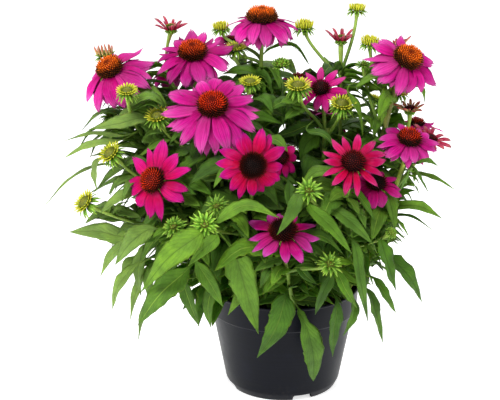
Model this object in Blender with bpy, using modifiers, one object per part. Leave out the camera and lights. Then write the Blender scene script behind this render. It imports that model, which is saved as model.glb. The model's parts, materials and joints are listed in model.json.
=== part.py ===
"""Purple coneflower (Echinacea purpurea) in a nursery pot, in metres, +Z up, pot base at z = 0.

Fourteen leafy stems stand in holes in the soil and carry buds, leaves and blooms. Each bloom is a
whorl of petals on a hub and a bristly cone. Blooms, buds and the leaves that show are placed by
their points in the 500 by 400 picture and a depth y; the other leaves follow a rule."""
import itertools
import math
import random
from collections import namedtuple

import bmesh
import bpy
from mathutils import Matrix, Vector
from mathutils.bvhtree import BVHTree

# Real sizes
RIM_DIAMETER = 0.190
POT_HEIGHT = 0.130
BASE_DIAMETER = 0.140
BAND_HEIGHT = 0.031
WALL = 0.0020
FOOT_HEIGHT = 0.0065
SOIL_TOP = 0.113
ROOT_DEPTH = 0.022
GAP = 0.0003
FLOOR = 0.0028
MIDDLE_RADIUS = 0.046
CHANNEL_RADIUS = 0.0495
SHOULDER_RADIUS = RIM_DIAMETER / 2 - 0.0065
NOTCHES, FIRST_NOTCH = 4, -70.0
NOTCH_WIDTH, NOTCH_HEIGHT = 0.025, 0.0062
POT_SIDES = 28
SOIL_SIDES = 16
SOIL_LUMPS = 0.0014
HOLE_MARGIN = 0.0014
HOLE_LENGTH = 0.05
LOWEST_LEAF_HEIGHT = 0.034

HUB_THICKNESS = 0.0018
PETAL_THICKNESS = 0.0014
LEAF_THICKNESS = 0.0015
STAR_POINTS = 10
CUP_DEPTH = 0.22
BUD_TOP = 0.60
CLEARANCE = 0.0006

# The picture's line of sight: the eye, its downward pitch and the focal length in pixels
EYE = Vector((-0.0412, -1.5, 0.668))
PITCH = math.radians(16.04)
FOCAL_PX = 1273.0
CENTRE_PX = (250.0, 200.0)
MM_PER_PX = 1.15
AHEAD = Vector((0.0, math.cos(PITCH), -math.sin(PITCH)))
RIGHT = Vector((1.0, 0.0, 0.0))
ABOVE = Vector((0.0, math.sin(PITCH), math.cos(PITCH)))
UP = Vector((0.0, 0.0, 1.0))

# Blooms. cone: radius of the cone in mm; reach: length of a petal in mm; start and end: the
# petal's slope at the hub and at the tip in degrees; lean: degrees from upright, toward azimuth
Bloom = namedtuple("Bloom", "name px py y cone petals reach width lean toward start end")
BLOOMS = (
    Bloom("01", px=111, py=70, y=-0.02, cone=15.5, petals=14, reach=43,
          width=12, lean=34, toward=-125, start=-12, end=-62),
    Bloom("02", px=193, py=54, y=0.03, cone=16.5, petals=14, reach=41,
          width=13.5, lean=26, toward=-95, start=0, end=-42),
    Bloom("03", px=262, py=20, y=0.05, cone=17.5, petals=13, reach=39,
          width=13.5, lean=9, toward=-90, start=-5, end=-62),
    Bloom("04", px=212.5, py=107, y=-0.10, cone=16.5, petals=16, reach=45,
          width=14.5, lean=38, toward=-90, start=-4, end=-34),
    Bloom("05", px=154, py=181, y=-0.13, cone=14, petals=12, reach=32,
          width=12, lean=60, toward=-118, start=0, end=-24),
    Bloom("06", px=252.5, py=166, y=-0.15, cone=14.5, petals=15, reach=28,
          width=11.5, lean=73, toward=-81, start=-4, end=-22),
    Bloom("07", px=283, py=233, y=-0.17, cone=15, petals=12, reach=29,
          width=12.5, lean=27, toward=-88, start=-2, end=-34),
    Bloom("08", px=353, py=163, y=-0.125, cone=13, petals=14, reach=27,
          width=9.5, lean=44, toward=-90, start=6, end=-14),
    Bloom("09", px=376, py=184, y=-0.07, cone=12, petals=10, reach=23,
          width=12, lean=34, toward=-85, start=-4, end=-46),
    Bloom("10", px=409.5, py=140, y=-0.055, cone=13.5, petals=12, reach=30,
          width=11, lean=26, toward=-80, start=0, end=-36),
    Bloom("11", px=407, py=60, y=-0.02, cone=16.5, petals=14, reach=34,
          width=13, lean=38, toward=-62, start=-8, end=-48),
    Bloom("12", px=321, py=89, y=0.0, cone=10.5, petals=11, reach=24,
          width=10, lean=40, toward=-105, start=8, end=-14),
    Bloom("13", px=167, py=74, y=0.09, cone=8, petals=8, reach=20,
          width=9, lean=12, toward=-100, start=-10, end=-60),
    Bloom("14", px=417, py=124, y=0.045, cone=9, petals=9, reach=24,
          width=10, lean=10, toward=-60, start=4, end=-26),
    Bloom("15", px=231, py=41, y=0.10, cone=8.5, petals=9, reach=18,
          width=8.5, lean=10, toward=-90, start=6, end=-20),
    Bloom("16", px=281, py=158, y=-0.085, cone=9, petals=9, reach=17,
          width=9, lean=60, toward=-70, start=0, end=-20),
    Bloom("17", px=214, py=92, y=0.14, cone=14, petals=12, reach=34,
          width=12.5, lean=38, toward=100, start=-6, end=-44),
    Bloom("18", px=330, py=118, y=0.12, cone=14.5, petals=12, reach=33,
          width=12.5, lean=40, toward=70, start=-6, end=-40),
)
# Blooms that are still opening: narrow rolled rays that stand up
OPENING = (
    Bloom("19", px=171, py=29, y=0.06, cone=7, petals=9, reach=19,
          width=3.4, lean=8, toward=-90, start=38, end=26),
    Bloom("20", px=341, py=40, y=0.05, cone=7, petals=9, reach=15,
          width=3.2, lean=5, toward=-90, start=46, end=34),
    Bloom("21", px=397, py=47, y=0.06, cone=7, petals=8, reach=17,
          width=3.2, lean=14, toward=170, start=40, end=30),
    Bloom("22", px=298, py=79, y=0.09, cone=8, petals=9, reach=14,
          width=5, lean=6, toward=-90, start=20, end=-20),
    Bloom("23", px=410, py=110, y=0.0, cone=6.5, petals=9, reach=17,
          width=3, lean=8, toward=-90, start=32, end=20),
    Bloom("24", px=430, py=140, y=-0.005, cone=8, petals=10, reach=16,
          width=3.2, lean=26, toward=-40, start=36, end=20),
)
WITH_CONE = ("23", "24")

# Leafy stems: the bloom at the head, the foot on the soil and the radius there in mm, and how
# many leaves follow the rule
Stem = namedtuple("Stem", "name head foot_x foot_y radius leaves")
STEMS = (
    Stem("01", head="01", foot_x=-64, foot_y=-6, radius=2.8, leaves=5),
    Stem("02", head="02", foot_x=-38, foot_y=20, radius=2.8, leaves=6),
    Stem("03", head="03", foot_x=-8, foot_y=24, radius=2.8, leaves=6),
    Stem("04", head="04", foot_x=-34, foot_y=-20, radius=2.8, leaves=5),
    Stem("05", head="05", foot_x=-54, foot_y=-38, radius=2.7, leaves=4),
    Stem("06", head="06", foot_x=-14, foot_y=-50, radius=2.7, leaves=4),
    Stem("07", head="07", foot_x=14, foot_y=-66, radius=2.6, leaves=3),
    Stem("08", head="08", foot_x=32, foot_y=-40, radius=2.7, leaves=5),
    Stem("09", head="10", foot_x=62, foot_y=-14, radius=2.7, leaves=6),
    Stem("10", head="11", foot_x=50, foot_y=12, radius=3.6, leaves=6),
    Stem("11", head="12", foot_x=10, foot_y=-8, radius=2.6, leaves=6),
    Stem("12", head="20", foot_x=22, foot_y=36, radius=2.4, leaves=7),
    Stem("13", head="17", foot_x=-30, foot_y=58, radius=2.7, leaves=9),
    Stem("14", head="18", foot_x=42, foot_y=56, radius=2.7, leaves=9),
)

# Side branches: from a fraction of the stem's path to a bloom of another name, or to a bud
Branch = namedtuple("Branch", "stem at bloom")
BLOOM_BRANCHES = (
    Branch("02", 0.62, "13"),
    Branch("02", 0.72, "19"),
    Branch("03", 0.66, "15"),
    Branch("06", 0.55, "16"),
    Branch("08", 0.60, "09"),
    Branch("09", 0.62, "14"),
    Branch("09", 0.70, "23"),
    Branch("09", 0.66, "24"),
    Branch("10", 0.66, "21"),
    Branch("11", 0.62, "22"),
)
# Buds. kind: star (spread green bracts), ring (bracts and a ring of short rays) or knob
Bud = namedtuple("Bud", "stem at px py y size lean toward kind")
BUDS = (
    Bud("01", 0.80, px=105, py=55, y=0.03, size=10, lean=10, toward=-160, kind="star"),
    Bud("01", 0.62, px=127, py=92, y=-0.075, size=9.5, lean=20, toward=-90, kind="ring"),
    Bud("01", 0.55, px=110, py=116, y=0.01, size=8, lean=25, toward=-140, kind="star"),
    Bud("03", 0.82, px=221, py=28, y=0.09, size=7, lean=10, toward=-120, kind="knob"),
    Bud("03", 0.80, px=236, py=49, y=0.06, size=8, lean=12, toward=-100, kind="star"),
    Bud("04", 0.60, px=158, py=117, y=-0.06, size=11, lean=25, toward=-110, kind="ring"),
    Bud("04", 0.66, px=250, py=83, y=-0.03, size=9.5, lean=18, toward=-90, kind="ring"),
    Bud("05", 0.58, px=111, py=154, y=-0.09, size=11, lean=45, toward=-140, kind="ring"),
    Bud("05", 0.45, px=86, py=203, y=-0.11, size=11.5, lean=52, toward=-150, kind="ring"),
    Bud("06", 0.50, px=217, py=206, y=-0.15, size=10, lean=50, toward=-100, kind="star"),
    Bud("06", 0.42, px=205, py=225, y=-0.165, size=11.5, lean=55, toward=-95, kind="star"),
    Bud("05", 0.40, px=174, py=227, y=-0.15, size=10.5, lean=50, toward=-100, kind="star"),
    Bud("07", 0.45, px=330, py=264, y=-0.16, size=11, lean=50, toward=-80, kind="star"),
    Bud("08", 0.52, px=309, py=191, y=-0.14, size=11, lean=45, toward=-90, kind="star"),
    Bud("11", 0.72, px=298, py=87, y=-0.035, size=11.5, lean=20, toward=-95, kind="ring"),
    Bud("11", 0.66, px=342, py=105, y=-0.03, size=11.5, lean=24, toward=-80, kind="ring"),
    Bud("12", 0.78, px=304, py=27, y=0.10, size=11, lean=6, toward=-90, kind="ring"),
    Bud("12", 0.84, px=357, py=9, y=0.06, size=9.5, lean=6, toward=-40, kind="ring"),
    Bud("10", 0.70, px=370, py=43, y=0.03, size=9.5, lean=10, toward=-90, kind="ring"),
    Bud("10", 0.60, px=364, py=65, y=0.02, size=7.5, lean=15, toward=-90, kind="star"),
    Bud("10", 0.56, px=399, py=93, y=0.01, size=9, lean=20, toward=-60, kind="ring"),
    Bud("08", 0.36, px=391, py=233, y=-0.10, size=7, lean=50, toward=-40, kind="knob"),
    Bud("03", 0.62, px=281, py=65, y=0.04, size=8, lean=10, toward=-90, kind="knob"),
    Bud("13", 0.66, px=262, py=70, y=0.15, size=9.5, lean=20, toward=90, kind="ring"),
    Bud("13", 0.52, px=165, py=130, y=0.14, size=10, lean=40, toward=130, kind="star"),
    Bud("14", 0.62, px=375, py=100, y=0.13, size=9.5, lean=30, toward=50, kind="ring"),
    Bud("14", 0.48, px=290, py=150, y=0.17, size=10, lean=45, toward=90, kind="star"),
)

# Leaves that show: where the blade starts, its crest and its tip in the picture with their
# depths, its width in mm and its roll about the midrib in degrees
Leaf = namedtuple("Leaf", "base crest tip width roll")
SEEN_LEAVES = (
    Leaf((233, 250, -0.155), (245, 286, -0.152), (258.5, 334, -0.128), 31, 0),
    Leaf((285, 297, -0.130), (277, 322, -0.140), (257, 358, -0.118), 29, 0),
    Leaf((305, 324, -0.122), (311, 350, -0.124), (313.5, 381, -0.106), 27, 0),
    Leaf((218, 221, -0.165), (246, 206, -0.172), (280, 218, -0.182), 15, 35),
    Leaf((200, 234, -0.175), (175, 250, -0.185), (141, 292, -0.165), 29, 15),
    Leaf((217, 237, -0.178), (204, 248, -0.185), (188, 266, -0.180), 15, 20),
    Leaf((152, 229, -0.140), (132, 242, -0.160), (115, 265, -0.150), 24, 15),
    Leaf((130, 240, -0.120), (113, 253, -0.130), (100, 277, -0.120), 12, 10),
    Leaf((127, 236, -0.100), (98, 231, -0.110), (69, 232, -0.105), 18, 40),
    Leaf((104, 164, -0.060), (73, 177, -0.075), (43.5, 207, -0.075), 8, 0),
    Leaf((100, 158, -0.085), (95, 173, -0.095), (97, 191, -0.095), 15, 0),
    Leaf((122, 136, -0.040), (92, 134, -0.050), (64, 141, -0.050), 7, 20),
    Leaf((116, 141, -0.070), (88, 145, -0.085), (64, 158, -0.090), 11, 20),
    Leaf((146, 119, -0.050), (118, 124, -0.070), (91, 129, -0.080), 18, 30),
    Leaf((136, 190, -0.120), (115, 199, -0.130), (99, 214, -0.130), 13, 15),
    Leaf((133, 267, -0.120), (119, 283, -0.130), (112, 310, -0.118), 14, 0),
    Leaf((146, 246, -0.105), (138, 270, -0.115), (141, 297, -0.105), 21, 0),
    Leaf((184, 273, -0.150), (163, 292, -0.165), (138, 325, -0.150), 30, 10),
    Leaf((160, 290, -0.105), (146, 308, -0.115), (138, 341, -0.100), 13, 0),
    Leaf((183, 280, -0.128), (189, 302, -0.135), (199.5, 327, -0.125), 17, 0),
    Leaf((214, 283, -0.130), (209, 305, -0.136), (211, 328, -0.125), 14, 0),
    Leaf((198, 265, -0.145), (209, 284, -0.152), (223, 307, -0.145), 18, 0),
    Leaf((245, 284, -0.125), (237, 299, -0.132), (228, 315, -0.126), 11, 0),
    Leaf((235, 214, -0.125), (243, 231, -0.135), (248, 250, -0.138), 14, 0),
    Leaf((289, 184, -0.120), (289, 199, -0.135), (294.5, 217, -0.140), 13, 0),
    Leaf((310, 206, -0.150), (331, 227, -0.165), (352, 254, -0.158), 17, 0),
    Leaf((332, 209, -0.125), (352, 223, -0.135), (373, 244, -0.130), 19, 10),
    Leaf((392, 206, -0.050), (420, 206, -0.065), (443, 219, -0.065), 13, 30),
    Leaf((386, 215, -0.040), (410, 216, -0.050), (434, 231, -0.050), 5, 20),
    Leaf((389, 217, -0.060), (400, 224, -0.072), (409, 237, -0.072), 10, 0),
    Leaf((414, 173, -0.030), (435, 178, -0.040), (455.5, 190, -0.040), 8, 20),
    Leaf((413, 167, -0.060), (421, 180, -0.070), (429, 193, -0.070), 9, 0),
    Leaf((417, 163, -0.075), (429, 161, -0.085), (438, 166, -0.085), 8, 20),
    Leaf((408, 172, -0.040), (403, 182, -0.048), (398, 194, -0.045), 15, 0),
    Leaf((381, 241, -0.110), (387, 264, -0.122), (396, 291, -0.115), 20, 0),
    Leaf((388, 256, -0.075), (407, 274, -0.090), (422, 302, -0.080), 22, 10),
    Leaf((376, 280, -0.100), (386, 295, -0.108), (396, 313, -0.100), 13, 0),
    Leaf((354, 243, -0.135), (360, 281, -0.145), (368, 322, -0.125), 16, 0),
    Leaf((369, 292, -0.095), (376, 314, -0.102), (383, 343, -0.092), 15, 0),
    Leaf((337, 305, -0.120), (333, 329, -0.124), (332.5, 357, -0.108), 19, 0),
    Leaf((354, 300, -0.085), (352, 317, -0.104), (343, 336, -0.098), 15, 0),
    Leaf((336, 272, -0.150), (346, 289, -0.158), (357, 308, -0.148), 14, 0),
    Leaf((330, 275, -0.140), (323, 294, -0.146), (315, 315, -0.136), 15, 0),
    Leaf((297, 258, -0.130), (304, 272, -0.138), (318, 285, -0.135), 12, 10),
    Leaf((413, 86, 0.010), (421, 88, 0.004), (425, 103, 0.0), 10, 20),
    Leaf((342, 81, 0.030), (360, 88, 0.020), (381, 106, 0.015), 12, 20),
    Leaf((348, 92, -0.010), (358, 112, -0.020), (363, 138, -0.015), 24, 0),
    Leaf((309, 131, -0.050), (324, 134, -0.062), (337, 150, -0.062), 12, 20),
    Leaf((352, 191, -0.090), (365, 204, -0.100), (375, 222, -0.098), 14, 0),
    Leaf((195, 160, -0.090), (203, 180, -0.105), (213, 203, -0.105), 25, 0),
    Leaf((184, 197, -0.100), (197, 203, -0.115), (213, 216, -0.118), 13, 20),
    Leaf((283, 84, 0.0), (281, 108, -0.012), (285, 134, -0.010), 15, 0),
    Leaf((190, 105, -0.03), (170, 120, -0.04), (160, 147, -0.045), 16, 0),
    Leaf((270, 138, -0.09), (279, 141, -0.10), (288, 152, -0.105), 14, 20),
)

# The rule for the other leaves: lengths at the foot and at the head of a stem, then the turns,
# lifts and scales tried in order until a leaf is clear of everything
GOLDEN_ANGLE = 137.5
LEAF_LENGTH = (0.128, 0.070)
LEAF_SHAPE = 0.27
LOWEST_LEAF = 0.18
HIGHEST_LEAF = 0.84
SWINGS = (0, 18, -18, 36, -36, 60, -60, 85, -85)
LIFTS = (0, 16, -16)
SCALES = (1.0, 0.78)
# The ball that holds those leaves: its centre and half sizes
CROWN_CENTRE = Vector((-0.045, 0.0, 0.262))
CROWN_HALF = Vector((0.212, 0.185, 0.200))
# The part of the picture where the pot shows, which those leaves leave free
POT_VIEW_TOP, POT_VIEW_LEFT, POT_VIEW_RIGHT = 296, 222, 350

# Bends of stems and branches, sideways and outward, and shifts of a branch along its stem,
# tried in order until the way is clear
BENDS = (
    (0.0, 0.0), (0.010, 0.0), (-0.010, 0.0), (0.0, 0.010), (0.0, -0.010), (0.022, 0.0),
    (-0.022, 0.0), (0.0, 0.022), (0.0, -0.022), (0.020, 0.020), (-0.020, 0.020),
    (0.020, -0.020), (-0.020, -0.020), (0.036, 0.0), (-0.036, 0.0), (0.0, 0.036), (0.0, -0.036),
)
SHIFTS = (0.0, -0.07, 0.07, -0.14, 0.12, -0.22)
# How much a stalk that runs down, or turns back, counts against a spot on a stem
FALL_COST, TURN_COST = 1.5, 0.04
# Steps toward the eye tried in order for the leaves that show
NEARER = (0.0, 0.006, -0.006, 0.012, -0.012, 0.018, -0.018, 0.026, 0.034, -0.026)
# Where along its path a stem or branch has its sections
STEM_STEPS = (0.0, 0.28, 0.54, 0.75, 0.90, 1.0)
BRANCH_STEPS = (0.0, 0.38, 0.74, 1.0)
BRANCH_RADIUS = 0.0016

# A leaf's sections: place along the midrib's four points, share of the full width, fold, and
# how much thicker than the blade its stalk is
STALKED = (
    (0.0, 0.0, 0.0, 0.0011),
    (1.0, 0.16, 0.0, 0.0011),
    (1.5, 0.96, 0.16, 0.0),
    (2.25, 0.80, 0.14, 0.0),
)
STALKLESS = (
    (0.0, 0.0, 0.0, 0.0009),
    (1.4, 0.96, 0.16, 0.0),
    (2.2, 0.82, 0.14, 0.0),
)
STALK_HALF = 0.0012
# Where a petal is widest, and the share of that width at its blunt tip
PETAL_WIDEST, PETAL_TIP = 0.58, 0.46

# Colours and roughness from the photo
FINISHES = {
    "pot": ((0.020, 0.023, 0.032, 1.0), 0.42),
    "soil": ((0.035, 0.024, 0.016, 1.0), 0.95),
    "leaf": ((0.105, 0.235, 0.035, 1.0), 0.55),
    "petal": ((0.62, 0.022, 0.30, 1.0), 0.50),
    "cone": ((0.34, 0.065, 0.018, 1.0), 0.65),
}


# Places and directions

def seen(px, py, y):
    """The point at depth y on the line of sight through a point of the picture."""
    across = RIGHT * ((px - CENTRE_PX[0]) / FOCAL_PX)
    ray = AHEAD + across + ABOVE * ((CENTRE_PX[1] - py) / FOCAL_PX)
    return EYE + ray * ((y - EYE.y) / ray.y)


def in_picture(point):
    """The picture coordinates of a point."""
    ray = point - EYE
    scale = FOCAL_PX / ray.dot(AHEAD)
    return CENTRE_PX[0] + ray.x * scale, CENTRE_PX[1] - ray.dot(ABOVE) * scale


def leaning(lean, toward):
    """The direction that leans so many degrees from upright toward an azimuth."""
    lean, toward = math.radians(lean), math.radians(toward)
    level = math.sin(lean)
    return Vector((level * math.cos(toward), level * math.sin(toward), math.cos(lean)))


def standing(axis, spot):
    """The transform that stands local +Z along an axis at a spot."""
    turn = axis.to_track_quat("Z", "Y").to_matrix().to_4x4()
    turn.translation = spot
    return turn


def bezier(route, t):
    a, b, c, d = route
    u = 1.0 - t
    return a * (u * u * u) + b * (3 * u * u * t) + c * (3 * u * t * t) + d * (t * t * t)


def on_tube(route, steps, t):
    """The point at t on the straight runs that a tube along the route is made of."""
    last = max(k for k, step in enumerate(steps[:-1]) if step <= t)
    share = (t - steps[last]) / (steps[last + 1] - steps[last])
    return bezier(route, steps[last]).lerp(bezier(route, steps[last + 1]), share)


def smooth(points, u):
    """The point at u on a curve through the points, which are at whole numbers of u."""
    last = len(points) - 1
    first = min(int(u), last - 1)
    start, end, t = points[first], points[first + 1], u - first
    span = (end - start).length
    leave, arrive = slope_at(points, first) * span, slope_at(points, first + 1) * span
    blend = start * (2 * t ** 3 - 3 * t ** 2 + 1) + end * (3 * t ** 2 - 2 * t ** 3)
    return blend + leave * (t ** 3 - 2 * t ** 2 + t) + arrive * (t ** 3 - t ** 2)


def slope_at(points, i):
    """The curve's direction at one of its points, the nearer neighbour counting more."""
    if i == 0:
        return (points[1] - points[0]).normalized()
    if i == len(points) - 1:
        return (points[i] - points[i - 1]).normalized()
    before, after = points[i] - points[i - 1], points[i + 1] - points[i]
    mixed = before.normalized() * after.length + after.normalized() * before.length
    return mixed / (before.length + after.length)


def heading(points, u, step=0.02):
    ahead = smooth(points, min(u + step, len(points) - 1))
    return (ahead - smooth(points, max(u - step, 0.0))).normalized()


# Meshes

def material(name):
    found = bpy.data.materials.get(name)
    if found:
        return found
    made = bpy.data.materials.new(name)
    made.use_nodes = True
    shader = made.node_tree.nodes["Principled BSDF"]
    colour, roughness = FINISHES[name]
    shader.inputs["Base Color"].default_value = colour
    shader.inputs["Roughness"].default_value = roughness
    shader.inputs["Metallic"].default_value = 0.0
    made.diffuse_color = colour
    return made


def mesh_object(name, mesh, collection):
    made = bpy.data.objects.new(name, mesh)
    collection.objects.link(made)
    return made


def cutter_object(name, mesh, collection):
    made = mesh_object(name, mesh, collection)
    made.hide_render = True
    made.display_type = "WIRE"


def finish(made, name):
    """Gives the object its material, and smooth shading where it is round."""
    made.data.materials.clear()
    made.data.materials.append(material(name))
    if name != "leaf":
        made.data.shade_smooth()
        made.data.set_sharp_from_angle(angle=math.radians(50))


def from_faces(points, faces):
    mesh = bpy.data.meshes.new("piece")
    mesh.from_pydata([tuple(point) for point in points], [], faces)
    return mesh


def apply_modifiers(made):
    graph = bpy.context.evaluated_depsgraph_get()
    mesh = bpy.data.meshes.new_from_object(made.evaluated_get(graph))
    made.modifiers.clear()
    made.data = mesh


def tube(points, radii, sides):
    """A closed tube: a curve with a bevel, made a mesh with its caps welded on."""
    curve = bpy.data.curves.new("tube", "CURVE")
    curve.dimensions = "3D"
    curve.bevel_depth = 1.0
    curve.bevel_resolution = (sides - 4) // 2
    curve.use_fill_caps = True
    line = curve.splines.new("POLY")
    line.points.add(len(points) - 1)
    for spot, point, radius in zip(line.points, points, radii):
        spot.co = (*point, 1.0)
        spot.radius = radius
    guide = mesh_object("tube", curve, bpy.context.scene.collection)
    graph = bpy.context.evaluated_depsgraph_get()
    mesh = bpy.data.meshes.new_from_object(guide.evaluated_get(graph))
    bpy.data.objects.remove(guide)
    work = bmesh.new()
    work.from_mesh(mesh)
    bmesh.ops.remove_doubles(work, verts=work.verts, dist=0.000001)
    bmesh.ops.recalc_face_normals(work, faces=work.faces)
    work.to_mesh(mesh)
    work.free()
    return mesh


def starry(rings, axis, spot, top=None):
    """A ball whose rings of points are moved to a star's: each ring, from the top down, has a
    radius, how far every other point stands out, its height, how much higher the outer points
    are, and whether the first point is an outer one (0) or an inner one (1). Its underside is
    flat, and its top too unless a height is given for it."""
    work = bmesh.new()
    bmesh.ops.create_uvsphere(work, u_segments=STAR_POINTS, v_segments=len(rings) + 1, radius=1.0)
    poles = []
    for vert in work.verts:
        ring = round(math.acos(max(-1.0, min(1.0, vert.co.z))) / math.pi * (len(rings) + 1))
        if ring in (0, len(rings) + 1):
            vert.co = (0.0, 0.0, top if ring == 0 and top else rings[min(ring, 1) * -1][2])
            if ring or top is None:
                poles.append(vert)
            continue
        radius, spike, height, rise, first = rings[ring - 1]
        column = round(math.atan2(vert.co.y, vert.co.x) / math.tau * STAR_POINTS)
        angle = math.tau * column / STAR_POINTS
        outer = (column + first + 1) % 2
        reach = radius + spike * outer
        vert.co = (reach * math.cos(angle), reach * math.sin(angle), height + rise * outer)
    bmesh.ops.dissolve_verts(work, verts=poles)
    bmesh.ops.triangulate(work, faces=[face for face in work.faces if len(face.verts) == 4])
    bmesh.ops.transform(work, matrix=standing(axis, spot), verts=work.verts)
    mesh = bpy.data.meshes.new("starry")
    work.to_mesh(mesh)
    work.free()
    return mesh


def turned_solid(name, profile, sides, collection):
    """A closed solid from a profile in the XZ plane, turned about Z."""
    mesh = bpy.data.meshes.new(name)
    edges = [(k, k + 1) for k in range(len(profile) - 1)]
    mesh.from_pydata([(radius, 0.0, height) for radius, height in profile], edges, [])
    made = mesh_object(name, mesh, collection)
    screw = made.modifiers.new("turned", "SCREW")
    screw.steps = sides
    screw.render_steps = sides
    screw.use_merge_vertices = True
    screw.merge_threshold = 0.00005
    return made


def fused(name, meshes, collection):
    """One closed solid from meshes that overlap: a single union over a collection."""
    pieces = bpy.data.collections.new(name + " pieces")
    bpy.context.scene.collection.children.link(pieces)
    made = mesh_object(name, meshes[0], collection)
    for k, mesh in enumerate(meshes[1:]):
        mesh_object(f"{name} piece {k}", mesh, pieces)
    union = made.modifiers.new("union", "BOOLEAN")
    union.operation = "UNION"
    union.operand_type = "COLLECTION"
    union.collection = pieces
    apply_modifiers(made)
    for piece in list(pieces.objects):
        bpy.data.objects.remove(piece)
    bpy.data.collections.remove(pieces)
    keep_one_body(made.data)
    return made


def keep_one_body(mesh):
    """Keeps the largest shell: a loose scrap is dropped and a sealed hollow is filled. Points
    that only lie along one edge are taken out, so that no triangle is a sliver."""
    work = bmesh.new()
    work.from_mesh(mesh)
    bmesh.ops.remove_doubles(work, verts=work.verts, dist=0.000002)
    bmesh.ops.dissolve_degenerate(work, edges=work.edges, dist=0.000001)
    between = [vert for vert in work.verts if len(vert.link_edges) == 2]
    bmesh.ops.dissolve_verts(work, verts=between)
    bmesh.ops.triangulate(work, faces=work.faces)
    waiting = set(work.verts)
    shells = []
    while waiting:
        shell, front = [], [waiting.pop()]
        while front:
            vert = front.pop()
            shell.append(vert)
            others = {edge.other_vert(vert) for edge in vert.link_edges} & waiting
            waiting -= others
            front.extend(others)
        shells.append(shell)
    shells.sort(key=len, reverse=True)
    for shell in shells[1:]:
        bmesh.ops.delete(work, geom=shell, context="VERTS")
    work.to_mesh(mesh)
    work.free()


# Blades: petals and leaves

def section(points, centre, side, normal, half, thick, fold):
    """Adds a blade's four-point section and gives its indices: left, top, right, bottom."""
    first = len(points)
    points.append(centre - side * half + normal * (fold * half))
    points.append(centre + normal * (thick / 2))
    points.append(centre + side * half + normal * (fold * half))
    points.append(centre - normal * (thick / 2))
    return first, first + 1, first + 2, first + 3


def join_sections(faces, near, far):
    """Side faces between two sections, cut alike above and below."""
    left, top, right, bottom = near
    left2, top2, right2, bottom2 = far
    faces += [(left, top, left2), (top, top2, left2), (top, right, right2), (top, right2, top2)]
    faces += [(left, left2, bottom), (bottom, left2, bottom2)]
    faces += [(bottom, right2, right), (bottom, bottom2, right2)]


def join_point(faces, near, tip):
    left, top, right, bottom = near
    faces += [(left, top, tip), (top, right, tip), (right, bottom, tip), (bottom, left, tip)]


def join_edge(faces, near, tip):
    """Closes a blade on an edge of two points, left and right."""
    left, top, right, bottom = near
    faces += [(left, top, tip), (top, tip + 1, tip), (top, right, tip + 1)]
    faces += [(left, tip, bottom), (bottom, tip, tip + 1), (bottom, tip + 1, right)]


def hub_radius(bloom):
    return bloom.cone / 1000 * 1.05


def petal_path(bloom, share, steps=12):
    """Distance from the axis, height and slope of a petal at a share of its length."""
    radius, height = hub_radius(bloom), -HUB_THICKNESS / 2
    step = share * bloom.reach / 1000 / steps
    for k in range(steps):
        slope = math.radians(bloom.start + (bloom.end - bloom.start) * share * (k + 0.5) / steps)
        radius += math.cos(slope) * step
        height += math.sin(slope) * step
    return radius, height, math.radians(bloom.start + (bloom.end - bloom.start) * share)


def whorl(bloom, blade):
    """A whorl of blades as one body on a hub: neighbours share a corner on the hub's rim."""
    count, radius = bloom.petals, hub_radius(bloom)
    below = UP * HUB_THICKNESS
    points = [Vector(), -below]
    for i in range(count):
        angle = math.tau * (i - 0.5) / count
        points.append(Vector((math.cos(angle), math.sin(angle), 0.0)) * radius - below / 2)
    faces = []
    draw = random.Random("petals " + bloom.name)
    for i in range(count):
        angle = math.tau * i / count
        out = Vector((math.cos(angle), math.sin(angle), 0.0))
        side = Vector((math.sin(angle), -math.cos(angle), 0.0))
        top, bottom = len(points), len(points) + 1
        points += [out * radius, out * radius - below]
        left, right = 2 + (i + 1) % count, 2 + i
        faces += [(0, top, left), (0, right, top), (1, left, bottom), (1, bottom, right)]
        blade(bloom, draw, points, faces, (left, top, right, bottom), out, side)
    return points, faces


def petal_section(bloom, own, share, points, out, side, width):
    radius, height, slope = petal_path(own, share)
    half = min(bloom.width / 2000 * width, 0.93 * radius * math.tan(math.pi / bloom.petals))
    normal = UP * math.cos(slope) - out * math.sin(slope)
    middle = out * radius + UP * height
    return middle, half, section(points, middle, side, normal, half, PETAL_THICKNESS, -0.12)


def petal(bloom, draw, points, faces, root, out, side):
    """A broad ray that droops, widest past its middle, with a blunt tip."""
    grow, droop = draw.uniform(0.88, 1.06), draw.uniform(-8, 8)
    own = bloom._replace(reach=bloom.reach * grow, end=bloom.end + droop)
    middle, half, widest = petal_section(bloom, own, PETAL_WIDEST, points, out, side, 1.0)
    join_sections(faces, root, widest)
    radius, height, slope = petal_path(own, 1.0)
    half = min(bloom.width / 2000 * PETAL_TIP, 0.85 * radius * math.tan(math.pi / bloom.petals))
    points.append(out * radius - side * half + UP * height)
    points.append(out * radius + side * half + UP * height)
    join_edge(faces, widest, len(points) - 2)


def ray(bloom, draw, points, faces, root, out, side):
    """A narrow rolled ray that stands up and ends in a point."""
    grow, lift = draw.uniform(0.75, 1.1), draw.uniform(-10, 10)
    own = bloom._replace(reach=bloom.reach * grow, start=bloom.start + lift, end=bloom.end + lift)
    radius, height, slope = petal_path(own, 1.0)
    points.append(out * radius + UP * height)
    join_point(faces, root, len(points) - 1)


def leaf_across(rib, roll):
    """The direction across a leaf at its crest. Its face looks up, or outward where it hangs,
    and is rolled toward the eye by the roll."""
    along = heading(rib, 2.0)
    outward = Vector((rib[2].x - CROWN_CENTRE.x, rib[2].y, 0.0)).normalized()
    steep = min(along.z, 0.0) ** 2
    across = along.cross(UP * (1.0 - steep) + outward * (0.35 + steep)).normalized()
    turn = math.radians(roll)
    if across.dot(EYE - rib[2]) > 0.0:
        turn = -turn
    return across * math.cos(turn) + across.cross(along) * math.sin(turn)


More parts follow.
